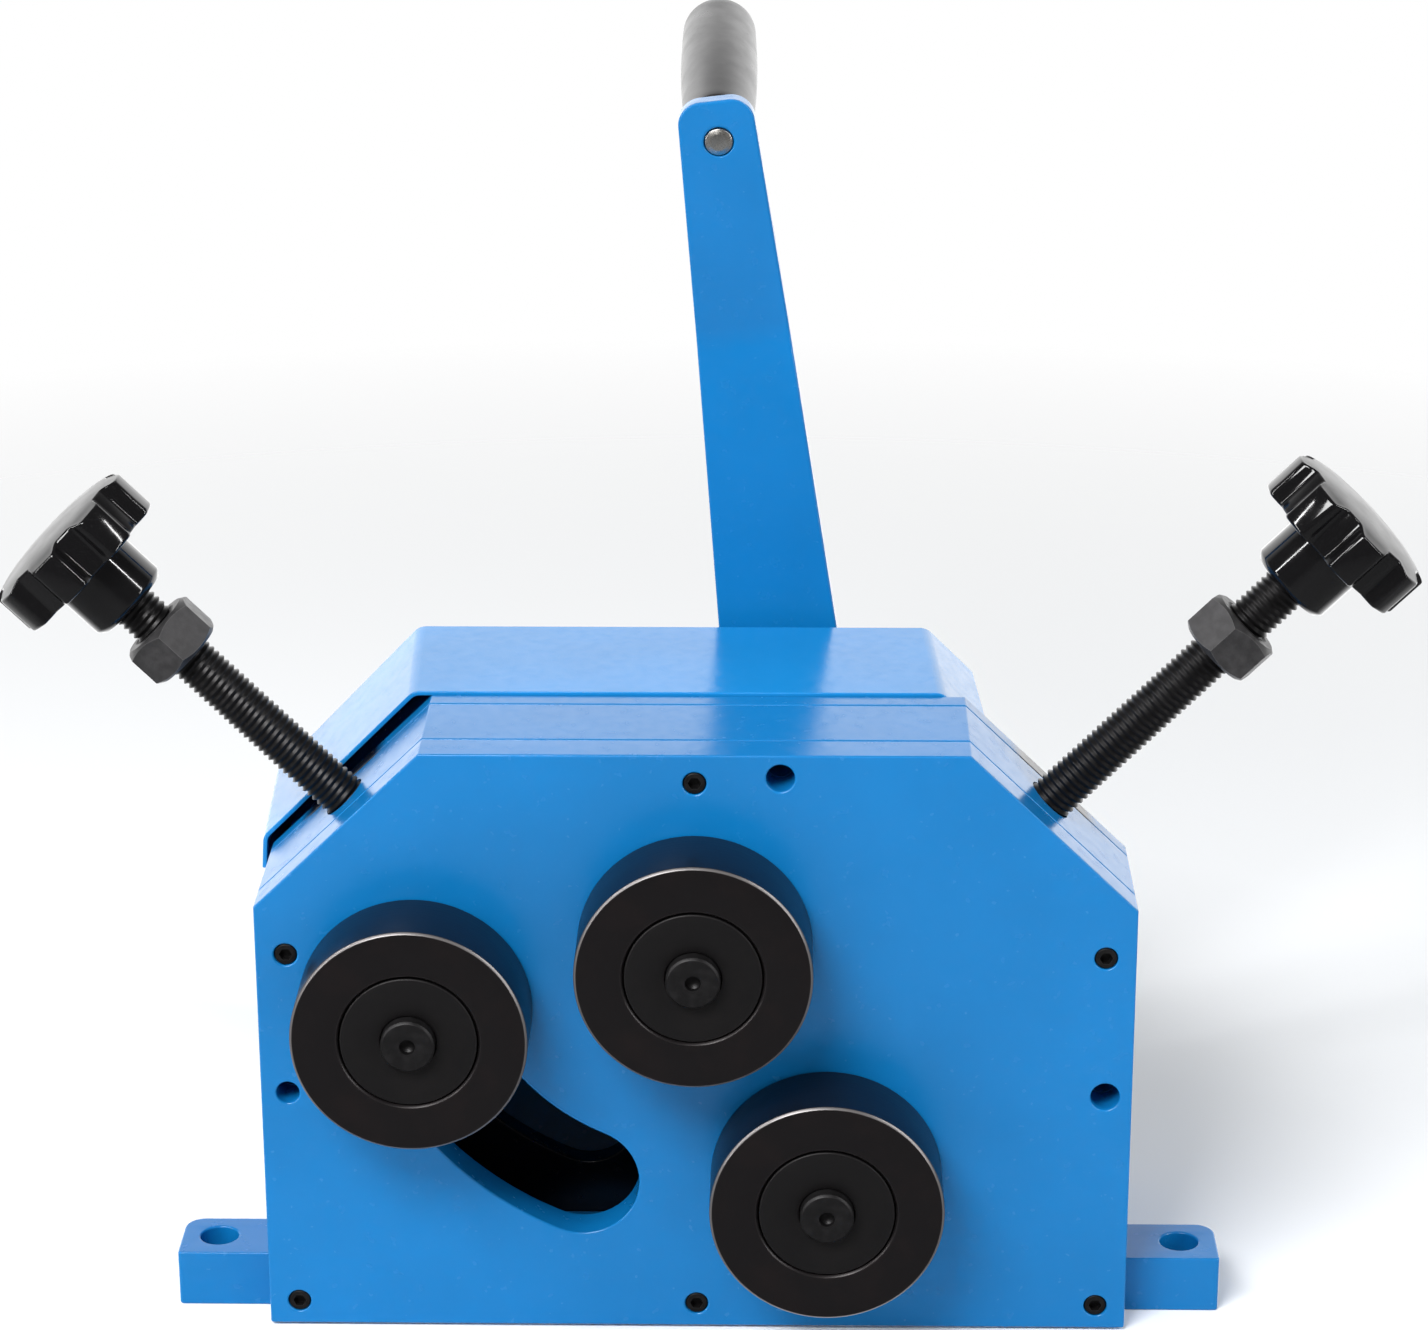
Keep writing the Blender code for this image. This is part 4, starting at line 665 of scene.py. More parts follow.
def frame_arch():
    """The frame behind the front plate, with the blocks that the screws run in."""
    inner_corner = [size - FRAME_WALL * math.tan(math.pi / 8) for size in CORNER]
    inner_half = HALF_PLATE - FRAME_WALL
    outer = house(HALF_PLATE, HALF_PLATE, arch_low.z, arch_high.z, CORNER, CORNER)
    inner = house(inner_half, inner_half, arch_low.z, arch_high.z - FRAME_WALL, inner_corner, inner_corner)
    line = rounded(outer + inner[::-1], [OUTLINE_ROUND] * 6 + [0.0] + [INNER_ROUND] * 4 + [0.0])
    mesh = plate("frame_arch", line, [], arch_low.y, arch_high.y, EDGE)
    block = box_outline(-BLOCK_HALF_WIDTH, BLOCK_HALF_WIDTH, -BLOCK_HALF_DEPTH, BLOCK_HALF_DEPTH)
    for side in (-1, 1):
        mesh = combined(mesh, prism(block, BLOCK_LOW, BLOCK_HIGH, screw_place(side)), "UNION")
    drills = [(screw_place(side), SCREW_RADIUS + PLAY, BORE_LOW, BORE_HIGH) for side in (-1, 1)]
    behind_face = arch_low.y - FACE
    drills += [
        (on_face(x, z), radius, behind_face - OVERCUT, behind_face + OPEN_HOLE_DEPTH)
        for x, z, radius in OPEN_HOLES]
    drills += [
        (on_face(x, z), FLUSH_RADIUS + PLAY, behind_face - OVERCUT, FLUSH_HOLE_BACK)
        for x, z in FLUSH_SPOTS.values() if z > bar_high.z]
    return combined(mesh, bars(drills))


levelled(stand_in("frame_arch", frame_arch(), BLUE))

LUG_DEPTH = 0.0267
LUG_FRONT_ROUND = 0.0015
LUG_BACK_ROUND = 0.007
LUG_NECK_ROUND = 0.0008
LUG_HOLE_X = 0.171
LUG_HOLE_Y = -0.00375
LUG_HOLE_RADIUS = 0.00675
SEAT_SINK = 0.0004


def base_bar():
    """The bar the machine stands on, with a lug at each end and a milled seat between them."""
    lug_back = bar_low.y + LUG_DEPTH
    corners = [
        (-bar_high.x, bar_low.y), (bar_high.x, bar_low.y), (bar_high.x, lug_back), (HALF_PLATE, lug_back),
        (HALF_PLATE, bar_high.y), (-HALF_PLATE, bar_high.y), (-HALF_PLATE, lug_back), (-bar_high.x, lug_back)]
    radii = (
        LUG_FRONT_ROUND, LUG_FRONT_ROUND, LUG_BACK_ROUND, LUG_NECK_ROUND, 0.0, 0.0, LUG_NECK_ROUND,
        LUG_BACK_ROUND)
    holes = [circle(side * LUG_HOLE_X, LUG_HOLE_Y, LUG_HOLE_RADIUS, 64) for side in (-1, 1)]
    mesh = plate("base_bar", rounded(corners, radii, 8), holes, bar_low.z, bar_high.z, EDGE, upright=False)
    seat_half = HALF_PLATE + PLAY
    seat = box_outline(-seat_half, seat_half, bar_low.y - OVERCUT, bar_high.y + OVERCUT)
    mesh = combined(mesh, prism(seat, bar_high.z - SEAT_SINK, bar_high.z + OVERCUT, Matrix()))
    return combined(mesh, bars([
        (on_face(x, z), FLUSH_RADIUS + PLAY, FLUSH_HOLE_FRONT, FLUSH_HOLE_BACK)
        for x, z in FLUSH_SPOTS.values() if z < bar_high.z]))


levelled(stand_in("base_bar", base_bar(), BLUE))

REAR_LEFT_CORNER = (0.054, 0.054)
REAR_RIGHT_CORNER = (0.064, 0.064)
HOOD_SCREWS = ((-0.0563, 0.206), (0.042, 0.206))
HOOD_HOLE_RADIUS = 0.0027
rear_line = rounded(
    house(-rear_low.x, rear_high.x, rear_low.z, rear_high.z, REAR_LEFT_CORNER, REAR_RIGHT_CORNER),
    [OUTLINE_ROUND] * 6)
rear_holes = shaft_holes(BUSH_RADIUS + PLAY) + [circle(x, z, HOOD_HOLE_RADIUS) for x, z in HOOD_SCREWS]
levelled(stand_in(
    "rear_plate", plate("rear_plate", rear_line, rear_holes, rear_low.y, rear_high.y, EDGE), BLUE))
for node in ("left_cover", "right_cover"):
    softened(node, BLUE, 0.0003)


# Sheet hood
HOOD_FRONT = 0.0586
HOOD_LENGTH = 0.0696
HOOD_BACK = HOOD_FRONT + HOOD_LENGTH
HOOD_THICKNESS = 0.0016
HOOD_EDGE = 0.0004
HOOD_TOP = plate_high.z + 0.001
HOOD_LEFT = -(HALF_PLATE + 0.0036)
HOOD_RIGHT = HALF_PLATE - CORNER[0] - 0.0074
HOOD_SLOPE_RUN = 0.0543
HOOD_SLOPE_FALL = 0.0546
HOOD_LIP = 0.0169
HOOD_BEND = 0.006
SKIRT_LEAN = 0.0007
SKIRT_FALL = 0.0119
# The hood's rear end stands further out and its ends hang lower than its front end
REAR_SPLAY = 0.0036
REAR_DROP = 0.002
WALL_WIDTH = 0.0135
WALL_OVERLAP = 0.003
FOLD_EASE = 0.0002
FLANGE_INSET = 0.018
FLANGE_LOW = HOOD_TOP - 0.016
FLANGE_LEFT = HOOD_LEFT + HOOD_SLOPE_RUN + FLANGE_INSET
FLANGE_RIGHT = HOOD_RIGHT - FLANGE_INSET


def hood_corners(splay, drop):
    """Corners of the hood's outer line, moved left by splay and down at its ends by drop."""
    left = HOOD_LEFT - splay
    right = HOOD_RIGHT - splay
    low = HOOD_TOP - HOOD_SLOPE_FALL - drop
    return [
        (left - SKIRT_LEAN, low - SKIRT_FALL), (left, low), (left + HOOD_SLOPE_RUN, HOOD_TOP),
        (right, HOOD_TOP), (right + HOOD_LIP, HOOD_TOP - HOOD_LIP)]


def hood_line(splay, drop):
    """The hood's outer line with its corners bent round."""
    return rounded(hood_corners(splay, drop), (0.0, HOOD_BEND, HOOD_BEND, HOOD_BEND, 0.0), 14, closed=False)


front_hood_line = hood_line(0.0, 0.0)
rear_hood_line = hood_line(REAR_SPLAY, REAR_DROP)


def sunk_line(line, distance):
    """An open line moved to its right-hand side, square to each of its runs."""
    runs = [after - before for before, after in zip(line, line[1:])]
    sides = [Vector((run.y, -run.x)).normalized() for run in runs]
    moved = []
    for index, point in enumerate(line):
        before = sides[max(index - 1, 0)]
        after = sides[min(index, len(sides) - 1)]
        mitre = (before + after).normalized()
        moved.append(point + mitre * distance / mitre.dot(after))
    return moved


def end_wall():
    """Turned-in rear edge of the hood, from its skirt up to its flange."""
    outer = [point for point in rear_hood_line if point.x < FLANGE_LEFT]
    corners = [Vector(point) for point in hood_corners(REAR_SPLAY, REAR_DROP)[:3]]
    for line in (outer, corners):
        line.append(Vector((FLANGE_LEFT + WALL_OVERLAP, HOOD_TOP)))
    outline = sunk_line(outer, HALF * HOOD_THICKNESS) + sunk_line(corners, WALL_WIDTH)[::-1]
    low = HOOD_BACK - HOOD_THICKNESS + FOLD_EASE
    return prism([(point.x, -point.y) for point in outline], low, HOOD_BACK - FOLD_EASE, on_face(0.0, 0.0))


def skirt_foot():
    """Turned-in lower edge of the hood's skirt, which reaches the side cover."""
    shape = bmesh.new()
    inside = rear_low.x - PLAY
    rings = []
    for line, depth in ((front_hood_line, HOOD_FRONT + FOLD_EASE), (rear_hood_line, HOOD_BACK - FOLD_EASE)):
        end = line[0]
        section = box_outline(
            end.x + HALF * HOOD_THICKNESS, inside, end.y + FOLD_EASE, end.y + HOOD_THICKNESS)
        rings.append([shape.verts.new((x, FACE + depth, z)) for x, z in section])
    bridge(shape, rings[0], rings[1])
    for ring in rings:
        shape.faces.new(ring)
    return finished_mesh("skirt_foot", shape)


def hood():
    """Bent sheet with rounded edges, with the flange that holds it to the rear plate."""
    quarter = [(depth, sunk) for sunk, depth in quarter_round(HOOD_EDGE)]
    across = quarter[::-1]
    across += [(depth, HOOD_THICKNESS - sunk) for depth, sunk in quarter]
    section = across + [(HOOD_LENGTH - depth, sunk) for depth, sunk in across[::-1]]
    shape = bmesh.new()
    loops = []
    for index in range(len(front_hood_line)):
        loop = []
        for depth, sunk in section:
            share = depth / HOOD_LENGTH
            line = [first.lerp(last, share) for first, last in zip(front_hood_line, rear_hood_line)]
            run = line[min(index + 1, len(line) - 1)] - line[max(index - 1, 0)]
            point = line[index] + sunk * Vector((run.y, -run.x)).normalized()
            loop.append(shape.verts.new((point.x, FACE + HOOD_FRONT + depth, point.y)))
        loops.append(loop)
    for lower, upper in zip(loops, loops[1:]):
        bridge(shape, lower, upper)
    shape.faces.new(loops[0])
    shape.faces.new(loops[-1])
    flange_high = HOOD_TOP - HALF * HOOD_THICKNESS
    flange = box_outline(FLANGE_LEFT, FLANGE_RIGHT, -flange_high, -FLANGE_LOW)
    mesh = finished_mesh("hood", shape)
    flange_piece = prism(flange, HOOD_BACK - HOOD_THICKNESS, HOOD_BACK, on_face(0.0, 0.0))
    for joined in (flange_piece, end_wall(), skirt_foot()):
        mesh = combined(mesh, joined, "UNION")
    return combined(mesh, bars([
        (on_face(x, z), HOOD_HOLE_RADIUS, HOOD_BACK - 0.003, HOOD_BACK + OVERCUT) for x, z in HOOD_SCREWS]))


levelled(stand_in("hood", hood(), SHEET_BLUE))
for number, (x, z) in enumerate(HOOD_SCREWS, 1):
    profile = soft_profile([
        (0.0, HOOD_BACK - 0.008), (0.0024, HOOD_BACK - 0.008), (0.0024, HOOD_BACK + PLAY),
        (0.0045, HOOD_BACK + PLAY), (0.0045, HOOD_BACK + 0.0012), (0.0024, HOOD_BACK + 0.0028),
        (0.0, HOOD_BACK + 0.0028)], 0.0003)
    screw = spun("hood_screw", profile, DRILL_SIDES)
    stand_in(f"hood_screw_{number}", screw, BLACK_OXIDE, on_face(x, z))


# Flush screws
def hexagon(flats):
    """A hexagon outline from the distance between its flats."""
    radius = HALF * flats / math.cos(math.pi / 6)
    turns = [side * math.pi / 3 for side in range(6)]
    return [(radius * math.cos(turn), radius * math.sin(turn)) for turn in turns]


def pin(radius, low, high, edge):
    """Profile of a plain round pin with eased ends."""
    return soft_profile([(0.0, low), (radius, low), (radius, high), (0.0, high)], edge)


for spot, (x, z) in FLUSH_SPOTS.items():
    body = spun("plate_screw", pin(FLUSH_RADIUS, 0.0004, 0.024, 0.0004), DRILL_SIDES)
    mesh = combined(body, prism(hexagon(0.004), -0.001, 0.0034, Matrix()))
    stand_in(f"plate_screw_{spot}", mesh, BLACK_OXIDE, on_face(x, z))

# Bushes, pillars, pads and the collar
for node, place, low, high in (
        ("pivot_bush", CENTRE, 0.0004, 0.0486), ("drive_front_bush", DRIVE, 0.0004, 0.0141),
        ("centre_rear_bush", CENTRE, 0.1142, 0.1259), ("drive_rear_bush", DRIVE, 0.1142, 0.1259)):
    profile = sleeve(SHAFT_RADIUS + PLAY, BUSH_RADIUS, low, high, 0.0004)
    stand_in(node, spun(node, profile, ring=True), BRONZE, on_face(place.x, place.y))
swing_bush = spun("swing_bush", sleeve(0.0103, 0.0128, 0.0173, 0.0373, 0.0004), ring=True)
stand_in("swing_bush", swing_bush, BRONZE, on_face(SWING.x, SWING.y))
collar = spun("collar", sleeve(0.0103, 0.021, 0.0593, 0.0653, 0.0006), ring=True)
stand_in("swing_roll_collar", collar, BLACK_OXIDE, on_face(SWING.x, SWING.y))
for number in range(1, 5):
    node = f"pillar_{number}"
    low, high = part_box(node)
    profile = pin(0.008, low.y - FACE, high.y - FACE, 0.0006)
    middle = HALF * (low + high)
    stand_in(node, spun(node, profile, DRILL_SIDES), BLACK_OXIDE, on_face(middle.x, middle.z))

# Rolls
CAP_BACK = ROLL_FRONT + 0.007
NUB_FRONT = ROLL_FRONT - 0.004
POCKET_RADIUS = 0.0236
NUB_RADIUS = 0.0092
NUT_THREAD_RADIUS = 0.01
CENTRE_HOLE_RADIUS = 0.0027
LEVER_FRONT = lever_low.y - FACE


def roll(name, place, shaft_radius, tail, threaded_tail=0.0):
    """Ring, cap and shaft of one roll."""
    inner = shaft_radius + PLAY
    ring = soft_ring([
        (inner, CAP_BACK), (POCKET_RADIUS, CAP_BACK), (POCKET_RADIUS, ROLL_FRONT + ROLL_CHAMFER),
        (POCKET_RADIUS + 0.0007, ROLL_FRONT), (ROLL_RADIUS - ROLL_CHAMFER, ROLL_FRONT),
        (ROLL_RADIUS, ROLL_FRONT + ROLL_CHAMFER), (ROLL_RADIUS, ROLL_BACK - ROLL_CHAMFER),
        (ROLL_RADIUS - ROLL_CHAMFER, ROLL_BACK), (inner, ROLL_BACK)], 0.00022, 2)
    there = on_face(place.x, place.y)
    stand_in(f"{name}_ring", spun("ring", ring, 160, ring=True), ROLL_BLACK, there)
    cap = sleeve(NUB_RADIUS + PLAY, POCKET_RADIUS - 0.0005, ROLL_FRONT + 0.0002, CAP_BACK - PLAY, 0.0005)
    stand_in(f"{name}_cap", spun("cap", cap, 128, ring=True), CAP_BLACK, there)
    profile = [
        (0.0, ROLL_FRONT), (CENTRE_HOLE_RADIUS, NUB_FRONT + 0.002), (CENTRE_HOLE_RADIUS, NUB_FRONT),
        (NUB_RADIUS - ROLL_CHAMFER, NUB_FRONT), (NUB_RADIUS, NUB_FRONT + ROLL_CHAMFER),
        (NUB_RADIUS, CAP_BACK), (shaft_radius, CAP_BACK), (shaft_radius, tail)]
    if threaded_tail:
        profile += [(NUT_THREAD_RADIUS, tail), (NUT_THREAD_RADIUS, threaded_tail)]
    profile.append((0.0, threaded_tail or tail))
    shaft = spun("shaft", soft_profile(profile, 0.00025, 2))
    stand_in(f"{name}_shaft", shaft, NUB_GREY, there)


roll("centre_roll", CENTRE, SHAFT_RADIUS, 0.1263)
roll("drive_roll", DRIVE, SHAFT_RADIUS, LEVER_FRONT - PLAY, LEVER_FRONT + 0.0326)
roll("swing_roll", SWING, 0.01, 0.0663)
for node in ("centre_gear", "drive_gear"):
    softened(node, GEAR_GREY, 0.0003)
softened("rocker", BLUE, 0.0007)


# Adjusting screws, their pads, nuts and knobs
THREAD_PITCH = 0.0023
THREAD_DEPTH = 0.00095
# Shares of a pitch at which the thread's crest and root start and end, and how deep each is
THREAD_MARKS = ((0.0, 1.0), (0.125, 1.0), (0.5, 0.0), (0.625, 0.0))
THREAD_END = 0.0008
NUT_BEVEL = 0.0022
NUT_MOUTH = 0.001


def threaded(low, high, sides=72):
    """A screw with a rolled thread all along it."""
    turns = int((high - low) / THREAD_PITCH) - 2
    start = low + HALF * (high - low - (turns + 1) * THREAD_PITCH)
    foot = [(SCREW_RADIUS - THREAD_END, low), (SCREW_RADIUS, low + THREAD_END)]
    head = [(SCREW_RADIUS, high - THREAD_END), (SCREW_RADIUS - THREAD_END, high)]
    shape = bmesh.new()
    columns = []
    for side in range(sides):
        thread = []
        for number in range(turns * 4 + 1):
            share, sunk = THREAD_MARKS[number % 4]
            rise = THREAD_PITCH * (number // 4 + share + side / sides)
            fade = min(1.0, rise / (2.0 * THREAD_PITCH), (high - start - rise) / (2.0 * THREAD_PITCH))
            thread.append((SCREW_RADIUS - THREAD_DEPTH * sunk * max(0.0, fade), start + rise))
        columns.append(around(shape, FULL_TURN * side / sides, foot + thread + head))
    for left, right in zip(columns, columns[1:]):
        for index in range(len(left) - 1):
            shape.faces.new((left[index], right[index], right[index + 1], left[index + 1]))
    # The last column meets the first one a pitch higher, so its corners join four marks on
    left = columns[-1]
    right = columns[0]
    last = len(left) - 1
    shape.faces.new((left[0], right[0], right[1], left[1]))
    shape.faces.new([left[1]] + right[1:7] + [left[2]])
    for index in range(2, last - 5):
        shape.faces.new((left[index], right[index + 4], right[index + 5], left[index + 1]))
    shape.faces.new([left[last - 5], right[last - 1], left[last - 1]] + left[last - 2:last - 5:-1])
    shape.faces.new((left[last - 1], right[last - 1], right[last], left[last]))
    shape.faces.new([column[0] for column in columns])
    shape.faces.new([column[-1] for column in columns])
    return finished_mesh("thread", shape)


def hex_nut(flats, low, high, bore):
    """Hexagon nut with its corners turned off at both ends."""
    flat_radius = HALF * flats
    corner_radius = flat_radius / math.cos(math.pi / 6)
    face_radius = flat_radius - HALF * NUT_BEVEL
    sides = 6 * 16
    columns = []
    for side in range(sides):
        from_flat = (FULL_TURN * side / sides + math.pi / 6) % (math.pi / 3) - math.pi / 6
        side_radius = flat_radius / math.cos(from_flat)
        drop = NUT_BEVEL * (side_radius - face_radius) / (corner_radius - face_radius)
        columns.append([
            (bore, low + NUT_MOUTH), (bore + NUT_MOUTH, low), (face_radius, low), (side_radius, low + drop),
            (side_radius, high - drop), (face_radius, high), (bore + NUT_MOUTH, high),
            (bore, high - NUT_MOUTH)])
    return turned("nut", columns, ring=True)


KNOB_RADIUS = 0.03
KNOB_EDGE = 0.0012
KNOB_LOBES = 8
KNOB_DIP = 0.0042
KNOB_THICKNESS = 0.015
KNOB_RISE = 0.0045
HUB_RADIUS = 0.015
HUB_LENGTH = 0.0185
BLIND_DEPTH = 0.0123


def star_knob(hub_end):
    """Lobed knob on a round hub, with a domed top and a blind bore."""
    rim_low = hub_end + HUB_LENGTH
    rim_high = rim_low + KNOB_THICKNESS
    sides = KNOB_LOBES * 26
    bore = SCREW_RADIUS + PLAY
    hub = [
        (bore, hub_end + BLIND_DEPTH), (bore, hub_end + 0.0006), (bore + 0.0006, hub_end), (0.0124, hub_end),
        (0.0132, hub_end + 0.0003), (0.0147, hub_end + 0.0019), (HUB_RADIUS, hub_end + 0.0026),
        (HUB_RADIUS, rim_low - 0.001), (HUB_RADIUS + 0.0003, rim_low - 0.0003),
        (HUB_RADIUS + 0.001, rim_low)]
    rounding = quarter_round(KNOB_EDGE, 4)

    def dome(reach):
        share = reach / KNOB_RADIUS
        return rim_high + KNOB_RISE * (1.0 - 0.65 * share ** 2 - 0.35 * share ** 8)

    columns = []
    for side in range(sides):
        wave = HALF * (1.0 - math.cos(KNOB_LOBES * FULL_TURN * (side + HALF) / sides))
        dip = min(1.0, max(0.0, (wave - 0.28) / 0.56))
        reach = KNOB_RADIUS - KNOB_DIP * dip * dip * (3.0 - 2.0 * dip)
        top = reach - KNOB_EDGE
        column = hub + [(reach - into, rim_low + rise) for into, rise in rounding]
        column += [(reach - into, dome(top) - rise) for into, rise in rounding[::-1]]
        column += [(top * (1.0 - step / 12.5), dome(top * (1.0 - step / 12.5))) for step in range(1, 13)]
        columns.append(column)
    return turned("star_knob", columns, capped=True, first=HALF)


for side, title, pad_low, hub_end, nut_low, nut_turn in (
        (-1, "left", -0.0473, 0.0985, 0.0727, math.radians(11.0)),
        (1, "right", -0.0963, 0.1095, 0.076, math.radians(38.0))):
    there = screw_place(side)
    pad_high = pad_low + 0.006
    pad = spun("pad", pin(0.0075, pad_low, pad_high, 0.0005), DRILL_SIDES)
    stand_in(f"{title}_pad", pad, SHAFT_GREY, there)
    stem = threaded(pad_high + PLAY, hub_end + BLIND_DEPTH - PLAY)
    stand_in(f"{title}_screw", stem, SCREW_BLACK, there, 50.0)
    stand_in(f"{title}_knob", star_knob(hub_end), KNOB_BLACK, there, 44.0)
    nut = hex_nut(0.0265, nut_low, nut_low + 0.0155, SCREW_RADIUS + PLAY)
    there = there @ Matrix.Rotation(nut_turn, 4, "Z")
    levelled(stand_in(f"{title}_lock_nut", nut, NUT_GREY, there, 28.0))

# Crank lever and its fixings
CRANK_RADIUS = 0.3351
CRANK_THICKNESS = 0.01
CRANK_LEAN = math.radians(-6.67)
CRANK_END = CRANK_RADIUS + 0.015
CRANK_EDGE = 0.001
FOOT_RADIUS = 0.029
WIDTH_BELOW = 0.053
WIDTH_ABOVE = 0.0277
TIP_ROUND = 0.008
LOW_BEND = 0.034
HIGH_BEND = 0.262
BEND_EASE = 0.005
SET_BACK = 0.0165
SET_FORWARD = 0.009
RIVET_HOLE_RADIUS = 0.0052
crank_place = Matrix.Translation((DRIVE.x, FACE, DRIVE.y)) @ Matrix.Rotation(CRANK_LEAN, 4, "Y")


def crank_set_back(along):
    """How far the lever's front face stands behind its flat end, with eased bends."""
    def slope_part(start, slope):
        past = along - start
        if past <= -BEND_EASE:
            return 0.0
        if past >= BEND_EASE:
            return slope * past
        return slope * (past + BEND_EASE) ** 2 / (4.0 * BEND_EASE)

    rise = SET_BACK / (HIGH_BEND - LOW_BEND)
    fall = SET_FORWARD / (CRANK_RADIUS - HIGH_BEND)
    return slope_part(LOW_BEND, rise) - slope_part(HIGH_BEND, rise + fall)


def half_width(along):
    """Half of the lever's width at a distance from its shaft."""
    taper = HALF * (WIDTH_BELOW - WIDTH_ABOVE) / (CRANK_RADIUS - LOW_BEND)
    return HALF * WIDTH_ABOVE + taper * (CRANK_RADIUS - along)


def crank_lever():
    """Flat bar with round ends, bent back and then forward, with its edges rounded."""
    straight = CRANK_END - TIP_ROUND - LOW_BEND
    sweep = math.asin(half_width(0.0) * 0.9995 / FOOT_RADIUS)
    foot = arc((0.0, 0.0), FOOT_RADIUS, -QUARTER_TURN, sweep - QUARTER_TURN, 24)
    side = [tuple(point) for point in foot[1:]]
    for along in [HALF * LOW_BEND] + [LOW_BEND + straight * step / 12 for step in range(12)]:
        side.append((half_width(along), along))
    for into, rise in quarter_round(TIP_ROUND, 12):
        side.append((half_width(CRANK_END - into) - rise, CRANK_END - into))
    outline = [(0.0, -FOOT_RADIUS)] + side + [(-x, along) for x, along in side[::-1]]
    holes = [circle(0.0, 0.0, NUT_THREAD_RADIUS + PLAY, 64), circle(0.0, CRANK_RADIUS, RIVET_HOLE_RADIUS)]
    mesh = plate("crank_lever", outline, holes, LEVER_FRONT, LEVER_FRONT + CRANK_THICKNESS, CRANK_EDGE)
    shape = bmesh.new()
    shape.from_mesh(mesh)
    for bend in (LOW_BEND, HIGH_BEND):
        for step in range(-4, 5):
            bmesh.ops.bisect_plane(
                shape, geom=shape.verts[:] + shape.edges[:] + shape.faces[:], dist=MERGE,
                plane_co=(0.0, 0.0, bend + BEND_EASE * step / 4), plane_no=UP)
    for point in shape.verts:
        point.co.y += crank_set_back(point.co.z)
    return finished_mesh("crank_lever", shape)


levelled(stand_in("crank_lever", crank_lever(), BLUE, crank_place))
crank_back = crank_place @ INTO_PLATE
washer_low = LEVER_FRONT + CRANK_THICKNESS + PLAY
washer_high = washer_low + 0.003
crank_bore = NUT_THREAD_RADIUS + PLAY
washer = spun("washer", sleeve(crank_bore, 0.016, washer_low, washer_high, 0.0004), ring=True)
stand_in("crank_washer", washer, ZINC, crank_back)
nut_low = washer_high + PLAY
crank_nut = hex_nut(0.03, nut_low, nut_low + 0.016, crank_bore)
levelled(stand_in("crank_nut", crank_nut, NUT_GREY, crank_back, 28.0))

# Grip on its riveted spindle, square to the lever's upper part
NECK_LOW = CRANK_THICKNESS + PLAY
NECK_HIGH = NECK_LOW + 0.0035
GRIP_LOW = NECK_HIGH + PLAY
GRIP_LENGTH = 0.1116
GRIP_HIGH = GRIP_LOW + GRIP_LENGTH
GRIP_EASE = 0.003
GRIP_NEAR_RADIUS = 0.0122
GRIP_FAR_RADIUS = 0.0137
GRIP_SWELL = 0.00105
GRIP_BORE = 0.0053
POCKET_LOW = GRIP_HIGH - 0.006
tilt = math.atan2(SET_FORWARD, CRANK_RADIUS - HIGH_BEND)
grip_place = crank_place @ Matrix.Translation((0.0, LEVER_FRONT + SET_BACK - SET_FORWARD, CRANK_RADIUS))
grip_place = grip_place @ Matrix.Rotation(tilt - QUARTER_TURN, 4, "X")


def grip():
    """Barrel-shaped grip, rounded at both ends, with a pocket for the spindle's head."""
    rounding = quarter_round(GRIP_EASE, 6)
    profile = [(GRIP_BORE, GRIP_LOW)]
    profile += [(GRIP_NEAR_RADIUS - into, GRIP_LOW + rise) for into, rise in rounding]
    for step in range(1, 32):
        share = step / 32
        straight = GRIP_NEAR_RADIUS + (GRIP_FAR_RADIUS - GRIP_NEAR_RADIUS) * share
        profile.append((
            straight + GRIP_SWELL * math.sin(math.pi * share),
            GRIP_LOW + GRIP_EASE + (GRIP_LENGTH - 2.0 * GRIP_EASE) * share))
    profile += [(GRIP_FAR_RADIUS - into, GRIP_HIGH - rise) for into, rise in rounding[::-1]]
    profile += [(0.0085, GRIP_HIGH - 0.0004), (0.0085, POCKET_LOW), (GRIP_BORE, POCKET_LOW)]
    return spun("grip", profile, 72, ring=True)


stand_in("grip", grip(), GRIP_GREY, grip_place, 40.0)
neck = spun("neck", sleeve(RIVET_HOLE_RADIUS, 0.0095, NECK_LOW, NECK_HIGH, 0.0006), 64, ring=True)
stand_in("grip_washer", neck, BLACK_OXIDE, grip_place)
head_low = POCKET_LOW + PLAY
head_high = POCKET_LOW + 0.004
spindle = soft_profile([
    (0.0, -0.0006), (0.003, -0.0006), (0.0049, 0.0), (0.0049, head_low), (0.008, head_low),
    (0.008, head_high), (0.0, head_high)], 0.0004)
stand_in("grip_spindle", spun("spindle", spindle, 64), ZINC, grip_place)

finish_of_slot = {
    "blue_enamel": BLUE, "blue_enamel_hood": SHEET_BLUE, "blackened_roll_steel": ROLL_BLACK,
    "ground_steel": SHAFT_GREY, "black_oxide_steel": BLACK_OXIDE, "dark_nut_steel": NUT_GREY,
    "black_knob_plastic": KNOB_BLACK, "grey_grip_plastic": GRIP_GREY, "bearing_bronze": BRONZE,
    "bright_zinc_steel": ZINC}
for node, shown in frame["nodes"].items():
    for material_slot in shown.material_slots:
        material_slot.material = finish_of_slot[slot_of_node[node]]


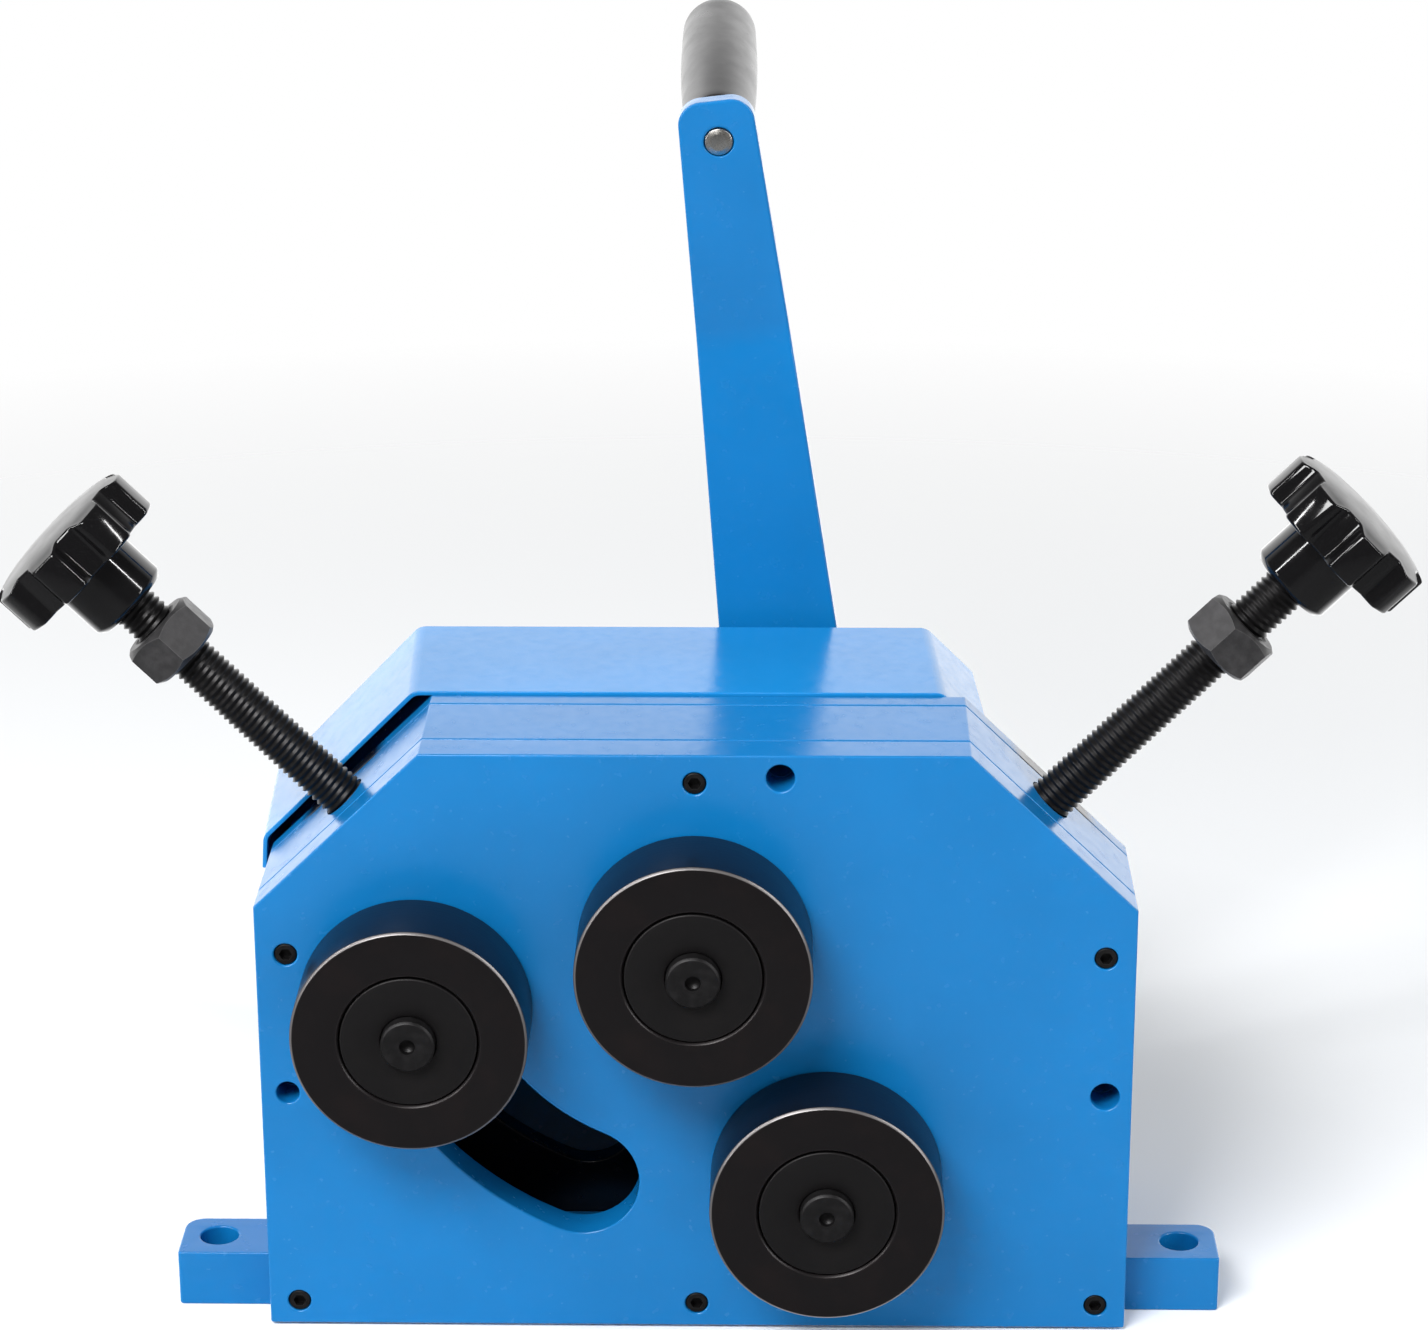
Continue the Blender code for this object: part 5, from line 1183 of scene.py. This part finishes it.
# Camera and studio
def photo_camera():
    """The camera that took the photograph."""
    lens = bpy.data.cameras.new("photo_camera")
    lens.sensor_fit = "HORIZONTAL"
    lens.sensor_width = SENSOR_WIDTH
    lens.lens = SENSOR_WIDTH * FOCAL_PIXELS / PHOTO_WIDTH
    lens.clip_start = 0.05
    camera = bpy.data.objects.new("photo_camera", lens)
    camera.matrix_world = (
        Matrix.Translation(CAMERA_PLACE) @ Matrix.Rotation(CAMERA_YAW, 4, "Z")
        @ Matrix.Rotation(QUARTER_TURN - CAMERA_PITCH, 4, "X") @ Matrix.Rotation(CAMERA_ROLL, 4, "Z"))
    scene.collection.objects.link(camera)
    scene.camera = camera


FLOOR_REACH = 2.0


def floor():
    """Pale floor that reaches far behind the machine."""
    shape = bmesh.new()
    corners = box_outline(-FLOOR_REACH, FLOOR_REACH, -FLOOR_REACH, FLOOR_REACH)
    shape.faces.new([shape.verts.new((x, y, 0.0)) for x, y in corners])
    made = Finish("studio_floor", (0.9, 0.91, 0.92), 0.85)
    made.set("Specular IOR Level", 0.0)
    where = made.node("ShaderNodeTexCoord", output="Object")
    away = made.node("ShaderNodeVectorMath", {"operation": "LENGTH"}, {0: where}, "Value")
    mirrored = made.node("ShaderNodeLightPath", output="Is Glossy Ray")
    made.set("Alpha", made.stretch(away, 0.45, 1.3, 1.0, 0.0) * (1.0 - mirrored * 0.85))
    piece = bpy.data.objects.new("studio_floor", finished_mesh("studio_floor", shape))
    piece.data.materials.append(made.material)
    scene.collection.objects.link(piece)


def light(name, place, aim, width, height, power):
    """A soft rectangular light aimed at a point."""
    lamp = bpy.data.lights.new(name, "AREA")
    lamp.shape = "RECTANGLE"
    lamp.size = width
    lamp.size_y = height
    lamp.energy = power
    piece = bpy.data.objects.new(name, lamp)
    facing = (Vector(aim) - Vector(place)).to_track_quat("-Z", "Y")
    piece.matrix_world = Matrix.Translation(place) @ facing.to_matrix().to_4x4()
    scene.collection.objects.link(piece)


def sky():
    """White surroundings, brightest from above; the machine mirrors a bright wall behind it."""
    world = bpy.data.worlds.new("studio")
    world.use_nodes = True
    scene.world = world
    made = Nodes(world.node_tree)
    _, backwards, height = made.parts(made.node("ShaderNodeTexCoord", output="Generated"))
    around_strength = made.stretch(height, -0.3, 0.9, 0.26, 0.46)
    behind = made.stretch(backwards, 0.25, 0.7)
    low = made.stretch(height, 0.36, 0.6, 1.0, 0.15)
    mirrored_strength = made.stretch(behind * low, 0.0, 1.0, 0.1, 1.95)
    white = (1.0, 1.0, 1.0)
    cool_white = (0.96, 0.98, 1.0)
    seen, soft, bright = (
        made.node("ShaderNodeBackground", inputs={"Color": colour, "Strength": strength})
        for colour, strength in ((white, 1.0), (cool_white, around_strength), (white, mirrored_strength)))
    glossy, direct = (
        made.node("ShaderNodeLightPath", output=kind) for kind in ("Is Glossy Ray", "Is Camera Ray"))
    unseen = made.node("ShaderNodeMixShader", inputs={0: glossy, 1: soft, 2: bright})
    shown = made.node("ShaderNodeMixShader", inputs={0: direct, 1: unseen, 2: seen})
    made.feed(made.tree.nodes["World Output"].inputs["Surface"], shown)


photo_camera()
floor()
sky()
for setup in (
        ("key", (-0.6, -1.15, 1.45), (0.0, 0.0, 0.15), 0.9, 0.6, 36.0),
        ("left_strip", (-1.3, -0.5, 0.8), (-0.1, 0.0, 0.25), 0.05, 1.4, 11.0),
        ("right_strip", (1.3, -0.5, 0.8), (0.1, 0.0, 0.25), 0.05, 1.4, 11.0)):
    light(*setup)
scene.view_settings.view_transform = "Standard"
